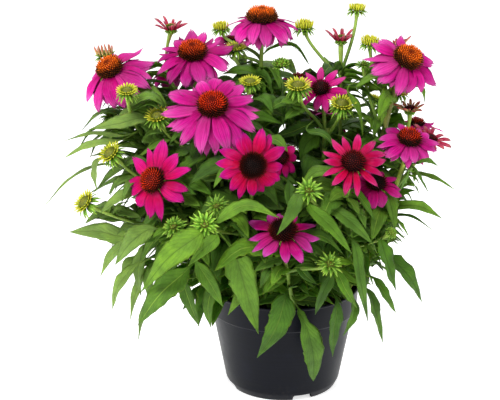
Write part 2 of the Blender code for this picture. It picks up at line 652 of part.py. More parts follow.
def leaf_blade(rib, width, roll, sections, grow=0.0):
    """A leaf from its midrib's four points: a stalk and a folded blade that ends in a point.
    It is made larger all round by grow, to test that it is clear."""
    across = leaf_across(rib, roll)
    points, faces = [], []
    near = None
    for u, share, fold, stalk in sections:
        along = heading(rib, u)
        side = (across - along * across.dot(along)).normalized()
        half = max(width / 2 * share, STALK_HALF) + grow
        thick = LEAF_THICKNESS + stalk + 2 * grow
        far = section(points, smooth(rib, u), side, side.cross(along), half, thick, fold)
        if near:
            join_sections(faces, near, far)
        else:
            faces += [(far[0], far[3], far[1]), (far[1], far[3], far[2])]
        near = far
    points.append(rib[3] + heading(rib, 3.0) * grow)
    join_point(faces, near, len(points) - 1)
    return points, faces


# Heads: cones, cups of bracts and buds, as rings for starry()

def cone_rings(bloom):
    r = bloom.cone / 1000
    return (
        (r * 0.46, r * 0.14, r * 0.90, r * 0.06, 0),
        (r * 0.86, r * 0.14, r * 0.46, r * 0.06, 1),
        (r * 0.82, 0.0, GAP, 0.0, 0),
    )


def cup_rings(bloom):
    r = bloom.cone / 1000
    top = -HUB_THICKNESS - GAP
    return (
        (r * 0.78, 0.0, top, 0.0, 0),
        (r * 0.50, r * 0.46, top - r * CUP_DEPTH, 0.0, 0),
    )


def bud_rings(bud):
    """The rings of a bud: a star of spread bracts, a ring of short rays, or a plain knob."""
    r = bud.size / 1000
    inner, outer, height, rise = {
        "star": (0.56, 0.62, 0.16, 0.04),
        "ring": (0.86, 0.28, 0.16, 0.06),
        "knob": (0.74, 0.26, 0.20, 0.02),
    }[bud.kind]
    return (
        (r * inner, r * outer, r * height, r * rise, 0),
        (r * 0.26, r * 0.14, -r * 0.24, 0.0, 1),
    )


# Pot and soil

def make_pot(collection, cutters):
    """The pot: a flat middle, a raised channel round it, a foot ring with notches, a band."""
    rim, foot = RIM_DIAMETER / 2, BASE_DIAMETER / 2
    band = POT_HEIGHT - BAND_HEIGHT
    profile = (
        (0.0, FLOOR),
        (MIDDLE_RADIUS - 0.0015, FLOOR),
        (CHANNEL_RADIUS - 0.0015, FOOT_HEIGHT + WALL),
        (foot - 0.0052, FOOT_HEIGHT + WALL),
        (SHOULDER_RADIUS - WALL, band - 0.001),
        (rim - WALL - 0.0004, POT_HEIGHT),
        (rim - 0.0010, POT_HEIGHT),
        (rim, POT_HEIGHT - 0.0014),
        (rim - 0.0032, band),
        (SHOULDER_RADIUS, band - 0.0010),
        (foot + 0.0012, 0.0070),
        (foot - 0.0006, 0.0026),
        (foot - 0.0030, 0.0),
        (foot - 0.0058, 0.0),
        (foot - 0.0064, FOOT_HEIGHT),
        (CHANNEL_RADIUS, FOOT_HEIGHT),
        (MIDDLE_RADIUS, 0.0),
        (0.0, 0.0),
    )
    pot = turned_solid("pot", profile, POT_SIDES, collection)
    for k in range(NOTCHES):
        angle = math.radians(FIRST_NOTCH + 360.0 / NOTCHES * k)
        turn = Matrix.Rotation(angle, 4, "Z") @ Matrix.Translation((foot, 0.0, 0.0))
        work = bmesh.new()
        bmesh.ops.create_cube(work, size=1.0)
        bmesh.ops.scale(work, vec=(0.016, NOTCH_WIDTH, 2 * NOTCH_HEIGHT), verts=work.verts)
        bmesh.ops.transform(work, matrix=turn, verts=work.verts)
        mesh = bpy.data.meshes.new("notch")
        work.to_mesh(mesh)
        work.free()
        cutter_object(f"notch_{k + 1}", mesh, cutters)
    cut = pot.modifiers.new("notches", "BOOLEAN")
    cut.operand_type = "COLLECTION"
    cut.collection = cutters
    finish(pot, "pot")
    return pot


def make_soil(collection):
    """The soil: it fills the pot and is lumpy on top."""
    band = POT_HEIGHT - BAND_HEIGHT
    low, low_radius = FOOT_HEIGHT + WALL + GAP, BASE_DIAMETER / 2 - 0.0052
    edge = SHOULDER_RADIUS - WALL - 0.0008
    profile = (
        (0.0, SOIL_TOP + 0.001),
        (0.030, SOIL_TOP),
        (0.062, SOIL_TOP + 0.001),
        (edge - 0.003, SOIL_TOP - 0.001),
        (edge, SOIL_TOP - 0.004),
        (edge, band - 0.0020),
        (low_radius - 0.0006, low + 0.0020),
        (low_radius - 0.0030, low),
        (0.0, low),
    )
    soil = turned_solid("soil", profile, SOIL_SIDES, collection)
    apply_modifiers(soil)
    draw = random.Random("soil")
    for vert in soil.data.vertices:
        if vert.co.z > SOIL_TOP - 0.0025:
            vert.co.z += draw.uniform(-SOIL_LUMPS, SOIL_LUMPS)
    finish(soil, "soil")
    return soil


def bore_soil(soil, routes, cutters):
    """A plain hole in the soil for each stem, in the direction the stem grows."""
    for stem in STEMS:
        radius = stem.radius / 1000 + HOLE_MARGIN
        foot = bezier(routes[stem.name], 0.0)
        along = (bezier(routes[stem.name], STEM_STEPS[1]) - foot).normalized()
        middle = foot + along * (HOLE_LENGTH / 2 - GAP)
        work = bmesh.new()
        bmesh.ops.create_cone(
            work, cap_ends=True, segments=6, radius1=radius, radius2=radius,
            depth=HOLE_LENGTH, matrix=standing(along, middle))
        mesh = bpy.data.meshes.new("hole")
        work.to_mesh(mesh)
        work.free()
        cutter_object("hole_" + stem.name, mesh, cutters)
    bore = soil.modifiers.new("holes", "BOOLEAN")
    bore.operand_type = "COLLECTION"
    bore.collection = cutters


# Keeping pieces clear of each other

class Room:
    """What is already placed, so that later pieces can be bent clear of it."""

    def __init__(self):
        self.taken = []

    def add(self, owner, points, faces):
        low = [min(point[i] for point in points) for i in range(3)]
        high = [max(point[i] for point in points) for i in range(3)]
        self.taken.append((owner, low, high, BVHTree.FromPolygons(points, faces)))

    def add_mesh(self, owner, mesh):
        self.add(owner, *mesh_parts(mesh))

    def clear(self, points, faces, but=None):
        """True if the faces cross nothing that is placed, except the owner named in but."""
        low = [min(point[i] for point in points) for i in range(3)]
        high = [max(point[i] for point in points) for i in range(3)]
        tree = BVHTree.FromPolygons(points, faces)
        for owner, lowest, highest, taken in self.taken:
            apart = any(low[i] > highest[i] or high[i] < lowest[i] for i in range(3))
            if owner != but and not apart and tree.overlap(taken):
                return False
        return True

    def clear_leaf(self, owner, points, faces):
        """As clear(), but the leaf's root section may cross its own stem."""
        outer = [face for face in faces if min(face) >= 4]
        return self.clear(points, outer) and self.clear(points, faces, but=owner)


def mesh_parts(mesh):
    return [vert.co.copy() for vert in mesh.vertices], [tuple(face.vertices) for face in mesh.polygons]


def rod(points, radius, sides=6):
    """A plain open tube along points, to test that a stem is clear."""
    made, faces = [], []
    for k, point in enumerate(points):
        along = (points[min(k + 1, len(points) - 1)] - points[max(k - 1, 0)]).normalized()
        side = along.orthogonal().normalized()
        other = along.cross(side)
        for i in range(sides):
            angle = math.tau * i / sides
            made.append(point + (side * math.cos(angle) + other * math.sin(angle)) * radius)
            if k:
                near, after = (k - 1) * sides, (i + 1) % sides
                faces.append((near + i, near + after, near + sides + after, near + sides + i))
    return made, faces


def hides_a_bloom(spot):
    """True if a leaf there would stand before a bloom, a bud or the pot in the picture."""
    px, py = in_picture(spot)
    if py > POT_VIEW_TOP and POT_VIEW_LEFT < px < POT_VIEW_RIGHT and spot.y < 0.0:
        return True
    heads = [(bloom, bloom.cone + bloom.reach * 0.8) for bloom in BLOOMS + OPENING]
    heads += [(bud, bud.size) for bud in BUDS]
    for head, size in heads:
        if spot.y < head.y - 0.004 and math.hypot(px - head.px, py - head.py) < size / MM_PER_PX:
            return True
    return False


def in_crown(spot):
    return sum(((spot[i] - CROWN_CENTRE[i]) / CROWN_HALF[i]) ** 2 for i in range(3)) < 1.0


# The plant

def bloom_place(bloom):
    """Where a bloom's hub is, its axis, and where its stem ends inside the cup of bracts."""
    spot, axis = seen(bloom.px, bloom.py, bloom.y), leaning(bloom.lean, bloom.toward)
    return spot, axis, spot - axis * (HUB_THICKNESS + GAP + bloom.cone / 1000 * CUP_DEPTH / 2)


def bud_place(bud):
    spot, axis = seen(bud.px, bud.py, bud.y), leaning(bud.lean, bud.toward)
    return spot, axis, spot - axis * bud.size / 1000 * 0.1


def stem_route(foot, end, axis, bend):
    """The path of a main stem: up from its foot, then along its bloom's axis."""
    rise = end.z - foot.z
    away = Vector((end.x - foot.x, end.y - foot.y, 0.0))
    shift = UP.cross(away).normalized() * bend[0] + away.normalized() * bend[1]
    first = foot + (UP * 0.92 + away * 0.5 / max(away.length, 0.05)).normalized() * rise * 0.42
    second = end - axis * min(0.075, rise * 0.28)
    return foot, first + shift, second + shift * 0.5, end


def branch_route(start, tangent, end, axis, bend):
    """The path of a side branch: off the stem at an angle, then along its head's axis."""
    span = (end - start).length
    toward = (end - start).normalized()
    aside = toward.cross(UP).normalized()
    shift = aside * bend[0] + aside.cross(toward) * bend[1]
    first = start + (tangent * 0.5 + toward * 0.6).normalized() * span * 0.36
    second = end - axis * span * 0.36
    return start, first + shift, second + shift * 0.5, end


def rule_leaf(stem, k, start, length, azimuth, lift, scale):
    """The four midrib points and the width of a leaf of the rule."""
    draw = random.Random(f"leaf {stem.name} {k}")
    length = length * scale * draw.uniform(0.88, 1.1)
    out = Vector((math.cos(azimuth), math.sin(azimuth), 0.0))
    slopes = (42 + lift + draw.uniform(-8, 8), 8 + lift * 0.8 + draw.uniform(-10, 10),
              -38 + lift * 0.6 + draw.uniform(-14, 10))
    rib = [start]
    for slope, share in zip(slopes, (0.20, 0.40, 0.44)):
        slope = math.radians(slope)
        rib.append(rib[-1] + (out * math.cos(slope) + UP * math.sin(slope)) * length * share)
    return rib, length * LEAF_SHAPE


class Plant:
    """Grows the plant piece by piece: pieces holds each stem's meshes, lines its paths."""

    def __init__(self, collection, room):
        self.collection = collection
        self.room = room
        self.pieces = {stem.name: [] for stem in STEMS}
        self.lines = []
        self.main = {}

    def grow(self, stem_name, mesh):
        self.pieces[stem_name].append(mesh)
        self.room.add_mesh("stem_" + stem_name, mesh)

    def place_blooms(self):
        for bloom in BLOOMS + OPENING:
            spot, axis, end = bloom_place(bloom)
            opening = bloom in OPENING
            points, faces = whorl(bloom, ray if opening else petal)
            stand = standing(axis, spot)
            mesh = from_faces([stand @ point for point in points], faces)
            name = ("rays_" if opening else "petals_") + bloom.name
            finish(mesh_object(name, mesh, self.collection), "petal")
            if not self.room.clear(*mesh_parts(mesh)):
                raise RuntimeError(name + " crosses a piece placed before it")
            self.room.add_mesh(name, mesh)
            if not opening or bloom.name in WITH_CONE:
                name = "cone_" + bloom.name
                mesh = starry(cone_rings(bloom), axis, spot, top=bloom.cone / 1000)
                finish(mesh_object(name, mesh, self.collection), "cone")
                self.room.add_mesh(name, mesh)

    def grow_stems(self):
        heads = {bloom.name: bloom for bloom in BLOOMS + OPENING}
        for stem in STEMS:
            spot, axis, end = bloom_place(heads[stem.head])
            foot = Vector((stem.foot_x / 1000, stem.foot_y / 1000, SOIL_TOP - ROOT_DEPTH))
            radius = stem.radius / 1000
            for bend in BENDS:
                route = stem_route(foot, end, axis, bend)
                points = [bezier(route, t) for t in STEM_STEPS]
                if self.room.clear(*rod(points, radius + CLEARANCE), but="soil"):
                    break
            else:
                raise RuntimeError("no clear way for stem " + stem.name)
            self.main[stem.name] = route
            self.lines.append((stem.name, route, STEM_STEPS))
            self.grow(stem.name, tube(points, [radius * (1.0 - 0.25 * t) for t in STEM_STEPS], 6))
            self.grow(stem.name, starry(cup_rings(heads[stem.head]), axis, spot))

    def grow_branches(self):
        heads = {bloom.name: bloom for bloom in BLOOMS + OPENING}
        jobs = []
        for branch in BLOOM_BRANCHES:
            bloom = heads[branch.bloom]
            jobs.append((branch.stem, branch.at, bloom_place(bloom), cup_rings(bloom), None))
        for bud in BUDS:
            top = bud.size / 1000 * BUD_TOP
            jobs.append((bud.stem, bud.at, bud_place(bud), bud_rings(bud), top))
        for stem_name, at, (spot, axis, end), rings, top in jobs:
            head = starry(rings, axis, spot, top)
            if not self.room.clear(*mesh_parts(head)):
                raise RuntimeError(f"the head at {in_picture(spot)} crosses another piece")
            route = self.branch_way(stem_name, at, end, axis)
            points = [bezier(route, t) for t in BRANCH_STEPS]
            self.lines.append((stem_name, route, BRANCH_STEPS))
            radii = [BRANCH_RADIUS * (1.1 - 0.2 * t) for t in BRANCH_STEPS]
            self.grow(stem_name, tube(points, radii, 4))
            self.grow(stem_name, head)

    def branch_way(self, stem_name, at, end, axis):
        """The first path from the stem to the head that is clear."""
        own, main = "stem_" + stem_name, self.main[stem_name]
        for shift in SHIFTS:
            here = at + shift
            start = on_tube(main, STEM_STEPS, here)
            tangent = (bezier(main, here + 0.01) - bezier(main, here - 0.01)).normalized()
            for bend in BENDS:
                route = branch_route(start, tangent, end, axis, bend)
                line = [bezier(route, t) for t in BRANCH_STEPS]
                near, far = (rod(part, BRANCH_RADIUS + CLEARANCE) for part in (line[:2], line[1:]))
                if self.room.clear(*far) and self.room.clear(*near, but=own):
                    return route
        raise RuntimeError(f"no clear way for the branch to {in_picture(end)}")

    def grow_leaf(self, stem_name, rib, width, roll, sections):
        points, faces = leaf_blade(rib, width, roll, sections)
        self.pieces[stem_name].append(from_faces(points, faces))
        self.room.add("stem_" + stem_name, points, faces)

    def grow_seen_leaves(self):
        for leaf in SEEN_LEAVES:
            base, crest, tip = seen(*leaf.base), seen(*leaf.crest), seen(*leaf.tip)
            stem_name, start = self.nearest_spot(base, (crest - base).normalized())
            width = leaf.width / 1000
            for step in NEARER:
                shift = (EYE - crest).normalized() * step
                rib = [start, base + shift, crest + shift, tip + shift]
                test = leaf_blade(rib, width, leaf.roll, STALKED, CLEARANCE / 2)
                if self.room.clear_leaf("stem_" + stem_name, *test):
                    self.grow_leaf(stem_name, rib, width, leaf.roll, STALKED)
                    break
            else:
                raise RuntimeError(f"no clear place for the leaf at {leaf.crest}")

    def nearest_spot(self, base, onward):
        """The stem or branch nearest to where a leaf's blade starts, and the spot on it. One
        from which the stalk runs upward and the same way as the blade counts as nearer."""
        found = []
        for stem_name, route, steps in self.lines:
            for k in range(2, 18):
                spot = on_tube(route, steps, k / 20)
                if spot.z > SOIL_TOP + LOWEST_LEAF_HEIGHT:
                    turn = 1.0 - (base - spot).normalized().dot(onward)
                    fall = max(0.0, spot.z - base.z)
                    cost = (spot - base).length + FALL_COST * fall + TURN_COST * turn * turn
                    found.append((cost, stem_name, spot))
        cost, stem_name, spot = min(found, key=lambda entry: entry[0])
        return stem_name, spot

    def grow_rule_leaves(self):
        for stem in STEMS:
            turn = random.Random("leaves " + stem.name).uniform(0, 360)
            for k in range(stem.leaves):
                share = k / (stem.leaves - 1)
                height = LOWEST_LEAF + (HIGHEST_LEAF - LOWEST_LEAF) * share
                start = on_tube(self.main[stem.name], STEM_STEPS, height)
                length = LEAF_LENGTH[0] + (LEAF_LENGTH[1] - LEAF_LENGTH[0]) * share
                for scale, lift, swing in itertools.product(SCALES, LIFTS, SWINGS):
                    azimuth = math.radians(turn + GOLDEN_ANGLE * k + swing)
                    rib, width = rule_leaf(stem, k, start, length, azimuth, lift, scale)
                    shown = (rib[2], rib[3], (rib[2] + rib[3]) / 2)
                    if not in_crown(rib[3]) or any(hides_a_bloom(spot) for spot in shown):
                        continue
                    test = leaf_blade(rib, width, 0.0, STALKLESS, CLEARANCE / 2)
                    if self.room.clear_leaf("stem_" + stem.name, *test):
                        self.grow_leaf(stem.name, rib, width, 0.0, STALKLESS)
                        break

    def fuse(self):
        for stem in STEMS:
            finish(fused("stem_" + stem.name, self.pieces[stem.name], self.collection), "leaf")


def main():
    for old in list(bpy.data.objects):
        bpy.data.objects.remove(old)
    whole = bpy.data.collections.new("purple_coneflower")
    notches = bpy.data.collections.new("notch cutters")
    holes = bpy.data.collections.new("hole cutters")
    for collection in (whole, notches, holes):
        bpy.context.scene.collection.children.link(collection)
    pot, soil = make_pot(whole, notches), make_soil(whole)
    room = Room()
    graph = bpy.context.evaluated_depsgraph_get()
    for made in (pot, soil):
        room.add_mesh(made.name, made.evaluated_get(graph).to_mesh())
    plant = Plant(whole, room)
    plant.place_blooms()
    plant.grow_stems()
    bore_soil(soil, plant.main, holes)
    plant.grow_branches()
    plant.grow_seen_leaves()
    plant.grow_rule_leaves()
    plant.fuse()


main()
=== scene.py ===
import itertools
import json
import math
import random
from collections import namedtuple

import bmesh
import bpy
from mathutils import Matrix, Vector, noise
from mathutils.bvhtree import BVHTree
from mathutils.kdtree import KDTree

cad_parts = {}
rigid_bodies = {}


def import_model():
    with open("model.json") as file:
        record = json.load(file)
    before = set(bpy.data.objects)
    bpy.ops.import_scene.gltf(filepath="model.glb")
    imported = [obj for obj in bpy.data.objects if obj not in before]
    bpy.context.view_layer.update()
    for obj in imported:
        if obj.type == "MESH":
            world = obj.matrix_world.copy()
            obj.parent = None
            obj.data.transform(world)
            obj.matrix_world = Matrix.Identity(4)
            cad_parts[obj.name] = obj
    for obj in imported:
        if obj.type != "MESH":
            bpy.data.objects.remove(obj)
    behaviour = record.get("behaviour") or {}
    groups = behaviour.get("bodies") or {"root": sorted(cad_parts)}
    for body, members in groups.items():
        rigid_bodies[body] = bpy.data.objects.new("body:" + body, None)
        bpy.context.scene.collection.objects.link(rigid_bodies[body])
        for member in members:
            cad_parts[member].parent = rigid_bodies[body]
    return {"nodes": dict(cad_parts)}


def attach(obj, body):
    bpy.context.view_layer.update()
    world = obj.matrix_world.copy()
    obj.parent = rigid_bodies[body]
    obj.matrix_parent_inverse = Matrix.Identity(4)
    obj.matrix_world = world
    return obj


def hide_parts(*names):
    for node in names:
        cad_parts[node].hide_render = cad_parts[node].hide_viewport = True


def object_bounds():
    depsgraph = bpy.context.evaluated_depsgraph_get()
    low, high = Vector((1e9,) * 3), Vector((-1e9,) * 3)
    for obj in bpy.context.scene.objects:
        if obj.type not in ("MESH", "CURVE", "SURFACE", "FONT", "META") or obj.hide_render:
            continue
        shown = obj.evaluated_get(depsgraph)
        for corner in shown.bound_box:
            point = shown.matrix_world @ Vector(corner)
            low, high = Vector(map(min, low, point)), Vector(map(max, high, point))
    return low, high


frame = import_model()
cad_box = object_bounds()

# The looks of a purple coneflower (Echinacea purpurea) in its nursery pot, in metres.
# Each stem, leaf, bud, petal and cone is made again, finer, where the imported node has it.
# The tables and rules of growth are the CAD's own. Where the CAD tried several paths for a
# stem or a leaf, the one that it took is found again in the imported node's mesh.

# Sizes of the CAD
RIM_DIAMETER = 0.190
POT_HEIGHT = 0.130
BASE_DIAMETER = 0.140
BAND_HEIGHT = 0.031
WALL = 0.0020
FOOT_HEIGHT = 0.0065
SOIL_TOP = 0.113
ROOT_DEPTH = 0.022
GAP = 0.0003
FLOOR = 0.0028
MIDDLE_RADIUS = 0.046
CHANNEL_RADIUS = 0.0495
SHOULDER_RADIUS = RIM_DIAMETER / 2 - 0.0065
NOTCHES, FIRST_NOTCH = 4, -70.0
NOTCH_WIDTH, NOTCH_HEIGHT = 0.025, 0.0062
LOWEST_LEAF_HEIGHT = 0.034
HUB_THICKNESS = 0.0018
CUP_DEPTH = 0.22

# The picture's line of sight: the eye, its downward pitch and the focal length in pixels
EYE = Vector((-0.0412, -1.5, 0.668))
PITCH = math.radians(16.04)
FOCAL_PX = 1273.0
PICTURE_WIDTH_PX = 500.0
CENTRE_PX = (250.0, 200.0)
MM_PER_PX = 1.15
AHEAD = Vector((0.0, math.cos(PITCH), -math.sin(PITCH)))
RIGHT = Vector((1.0, 0.0, 0.0))
ABOVE = Vector((0.0, math.sin(PITCH), math.cos(PITCH)))
UP = Vector((0.0, 0.0, 1.0))

# Blooms. cone: radius of the cone in mm; reach: length of a petal in mm; start and end: the
# petal's slope at the hub and at the tip in degrees; lean: degrees from upright, toward azimuth;
# petal and disc: names of palettes
Bloom = namedtuple("Bloom", "name px py y cone petals reach width lean toward start end petal disc")
BLOOMS = (
    Bloom("01", 111, 70, -0.02, 15.5, 14, 43, 12, 34, -125, -12, -62, "mauve", "orange"),
    Bloom("02", 193, 54, 0.03, 16.5, 14, 41, 13.5, 26, -95, 0, -42, "mauve", "rust"),
    Bloom("03", 262, 20, 0.05, 17.5, 13, 39, 13.5, 9, -90, -5, -62, "mauve", "amber"),
    Bloom("04", 212.5, 107, -0.10, 16.5, 16, 45, 14.5, 38, -90, -4, -34, "mauve", "red"),
    Bloom("05", 154, 181, -0.13, 14, 12, 32, 12, 60, -118, 0, -24, "magenta", "red"),
    Bloom("06", 252.5, 166, -0.15, 14.5, 15, 28, 11.5, 73, -81, -4, -22, "crimson", "black"),
    Bloom("07", 283, 233, -0.17, 15, 12, 29, 12.5, 27, -88, -2, -34, "bright", "black"),
    Bloom("08", 353, 163, -0.125, 13, 14, 27, 9.5, 44, -90, 6, -14, "scarlet", "wine"),
    Bloom("09", 376, 184, -0.07, 12, 10, 23, 12, 34, -85, -4, -46, "plum", "black"),
    Bloom("10", 409.5, 140, -0.055, 13.5, 12, 30, 11, 26, -80, 0, -36, "mauve", "red"),
    Bloom("11", 407, 60, -0.02, 16.5, 14, 34, 13, 38, -62, -8, -48, "mauve", "orange"),
    Bloom("12", 321, 89, 0.0, 10.5, 11, 24, 10, 40, -105, 8, -14, "quilled", "wine"),
    Bloom("13", 167, 74, 0.09, 8, 8, 20, 9, 12, -100, -10, -60, "mauve", "red"),
    Bloom("14", 417, 124, 0.045, 9, 9, 24, 10, 10, -60, 4, -26, "mauve", "red"),
    Bloom("15", 231, 41, 0.10, 8.5, 9, 18, 8.5, 10, -90, 6, -20, "mauve", "red"),
    Bloom("16", 281, 158, -0.085, 9, 9, 17, 9, 60, -70, 0, -20, "magenta", "wine"),
    Bloom("17", 214, 92, 0.14, 14, 12, 34, 12.5, 38, 100, -6, -44, "magenta", "orange"),
    Bloom("18", 330, 118, 0.12, 14.5, 12, 33, 12.5, 40, 70, -6, -40, "mauve", "orange"),
)
# Blooms that are still opening: narrow rolled rays that stand up
OPENING = (
    Bloom("19", 171, 29, 0.06, 7, 9, 19, 3.4, 8, -90, 38, 26, "rosy", "green"),
    Bloom("20", 341, 40, 0.05, 7, 9, 15, 3.2, 5, -90, 46, 34, "rosy", "green"),
    Bloom("21", 397, 47, 0.06, 7, 8, 17, 3.2, 14, 170, 40, 30, "cream", "green"),
    Bloom("22", 298, 79, 0.09, 8, 9, 14, 5, 6, -90, 20, -20, "mauve", "red"),
    Bloom("23", 410, 110, 0.0, 6.5, 9, 17, 3, 8, -90, 32, 20, "cream", "wine"),
    Bloom("24", 430, 140, -0.005, 8, 11, 19, 4.2, 26, -40, 20, 2, "rosy", "wine"),
)

# Leafy stems: the bloom at the head, the foot on the soil and the radius there in mm, and how
# many leaves follow the rule
Stem = namedtuple("Stem", "name head foot_x foot_y radius leaves")
STEMS = (
    Stem("01", "01", -64, -6, 2.8, 5), Stem("02", "02", -38, 20, 2.8, 6),
    Stem("03", "03", -8, 24, 2.8, 6), Stem("04", "04", -34, -20, 2.8, 5),
    Stem("05", "05", -54, -38, 2.7, 4), Stem("06", "06", -14, -50, 2.7, 4),
    Stem("07", "07", 14, -66, 2.6, 3), Stem("08", "08", 32, -40, 2.7, 5),
    Stem("09", "10", 62, -14, 2.7, 6), Stem("10", "11", 50, 12, 3.6, 6),
    Stem("11", "12", 10, -8, 2.6, 6), Stem("12", "20", 22, 36, 2.4, 7),
    Stem("13", "17", -30, 58, 2.7, 9), Stem("14", "18", 42, 56, 2.7, 9),
)

# Side branches: from a fraction of the stem's path to a bloom of another name, or to a bud
Branch = namedtuple("Branch", "stem at bloom")
BLOOM_BRANCHES = (
    Branch("02", 0.62, "13"), Branch("02", 0.72, "19"), Branch("03", 0.66, "15"),
    Branch("06", 0.55, "16"), Branch("08", 0.60, "09"), Branch("09", 0.62, "14"),
    Branch("09", 0.70, "23"), Branch("09", 0.66, "24"), Branch("10", 0.66, "21"),
    Branch("11", 0.62, "22"),
)
# Buds. kind: star (spread green bracts), ring (bracts and a ring of short rays) or knob
Bud = namedtuple("Bud", "stem at px py y size lean toward kind")
BUDS = (
    Bud("01", 0.80, 105, 55, 0.03, 10, 10, -160, "opening"),
    Bud("01", 0.62, 127, 92, -0.075, 9.5, 20, -90, "ring"),
    Bud("01", 0.55, 110, 116, 0.01, 8, 25, -140, "star"),
    Bud("03", 0.82, 221, 28, 0.09, 7, 10, -120, "crown"),
    Bud("03", 0.80, 236, 49, 0.06, 8, 12, -100, "ring"),
    Bud("04", 0.60, 158, 117, -0.06, 11, 25, -110, "ring"),
    Bud("04", 0.66, 250, 83, -0.03, 9.5, 18, -90, "ring"),
    Bud("05", 0.58, 111, 154, -0.09, 11, 45, -140, "ring"),
    Bud("05", 0.45, 86, 203, -0.11, 11.5, 52, -150, "ring"),
    Bud("06", 0.50, 217, 206, -0.15, 10, 50, -100, "star"),
    Bud("06", 0.42, 205, 225, -0.165, 11.5, 55, -95, "star"),
    Bud("05", 0.40, 174, 227, -0.15, 10.5, 50, -100, "star"),
    Bud("07", 0.45, 330, 264, -0.16, 11, 50, -80, "star"),
    Bud("08", 0.52, 309, 191, -0.14, 11, 45, -90, "star"),
    Bud("11", 0.72, 298, 87, -0.035, 11.5, 20, -95, "ring"),
    Bud("11", 0.66, 342, 105, -0.03, 11.5, 24, -80, "ring"),
    Bud("12", 0.78, 304, 27, 0.10, 11, 6, -90, "crown"),
    Bud("12", 0.84, 357, 9, 0.06, 9.5, 6, -40, "crown"),
    Bud("10", 0.70, 370, 43, 0.03, 9.5, 10, -90, "crown"),
    Bud("10", 0.60, 364, 65, 0.02, 7.5, 15, -90, "star"),
    Bud("10", 0.56, 399, 93, 0.01, 9, 20, -60, "ring"),
    Bud("08", 0.36, 391, 233, -0.10, 7, 50, -40, "knob"),
    Bud("03", 0.62, 281, 65, 0.04, 8, 10, -90, "knob"),
    Bud("13", 0.66, 262, 70, 0.15, 9.5, 20, 90, "crown"),
    Bud("13", 0.52, 165, 130, 0.14, 10, 40, 130, "star"),
    Bud("14", 0.62, 375, 100, 0.13, 9.5, 30, 50, "ring"),
    Bud("14", 0.48, 290, 150, 0.17, 10, 45, 90, "star"),
)

# Leaves that show: where the blade starts, its crest and its tip, each by its place in the
# picture and its depth in mm; its width in mm; its roll about the midrib in degrees; and for
# some how bright they are, from 0 to 1
Leaf = namedtuple("Leaf", "base crest tip width roll tone", defaults=(None,))


def leaves_of(*rows):
    return [Leaf(row[:3], row[3:6], row[6:9], *row[9:]) for row in rows]


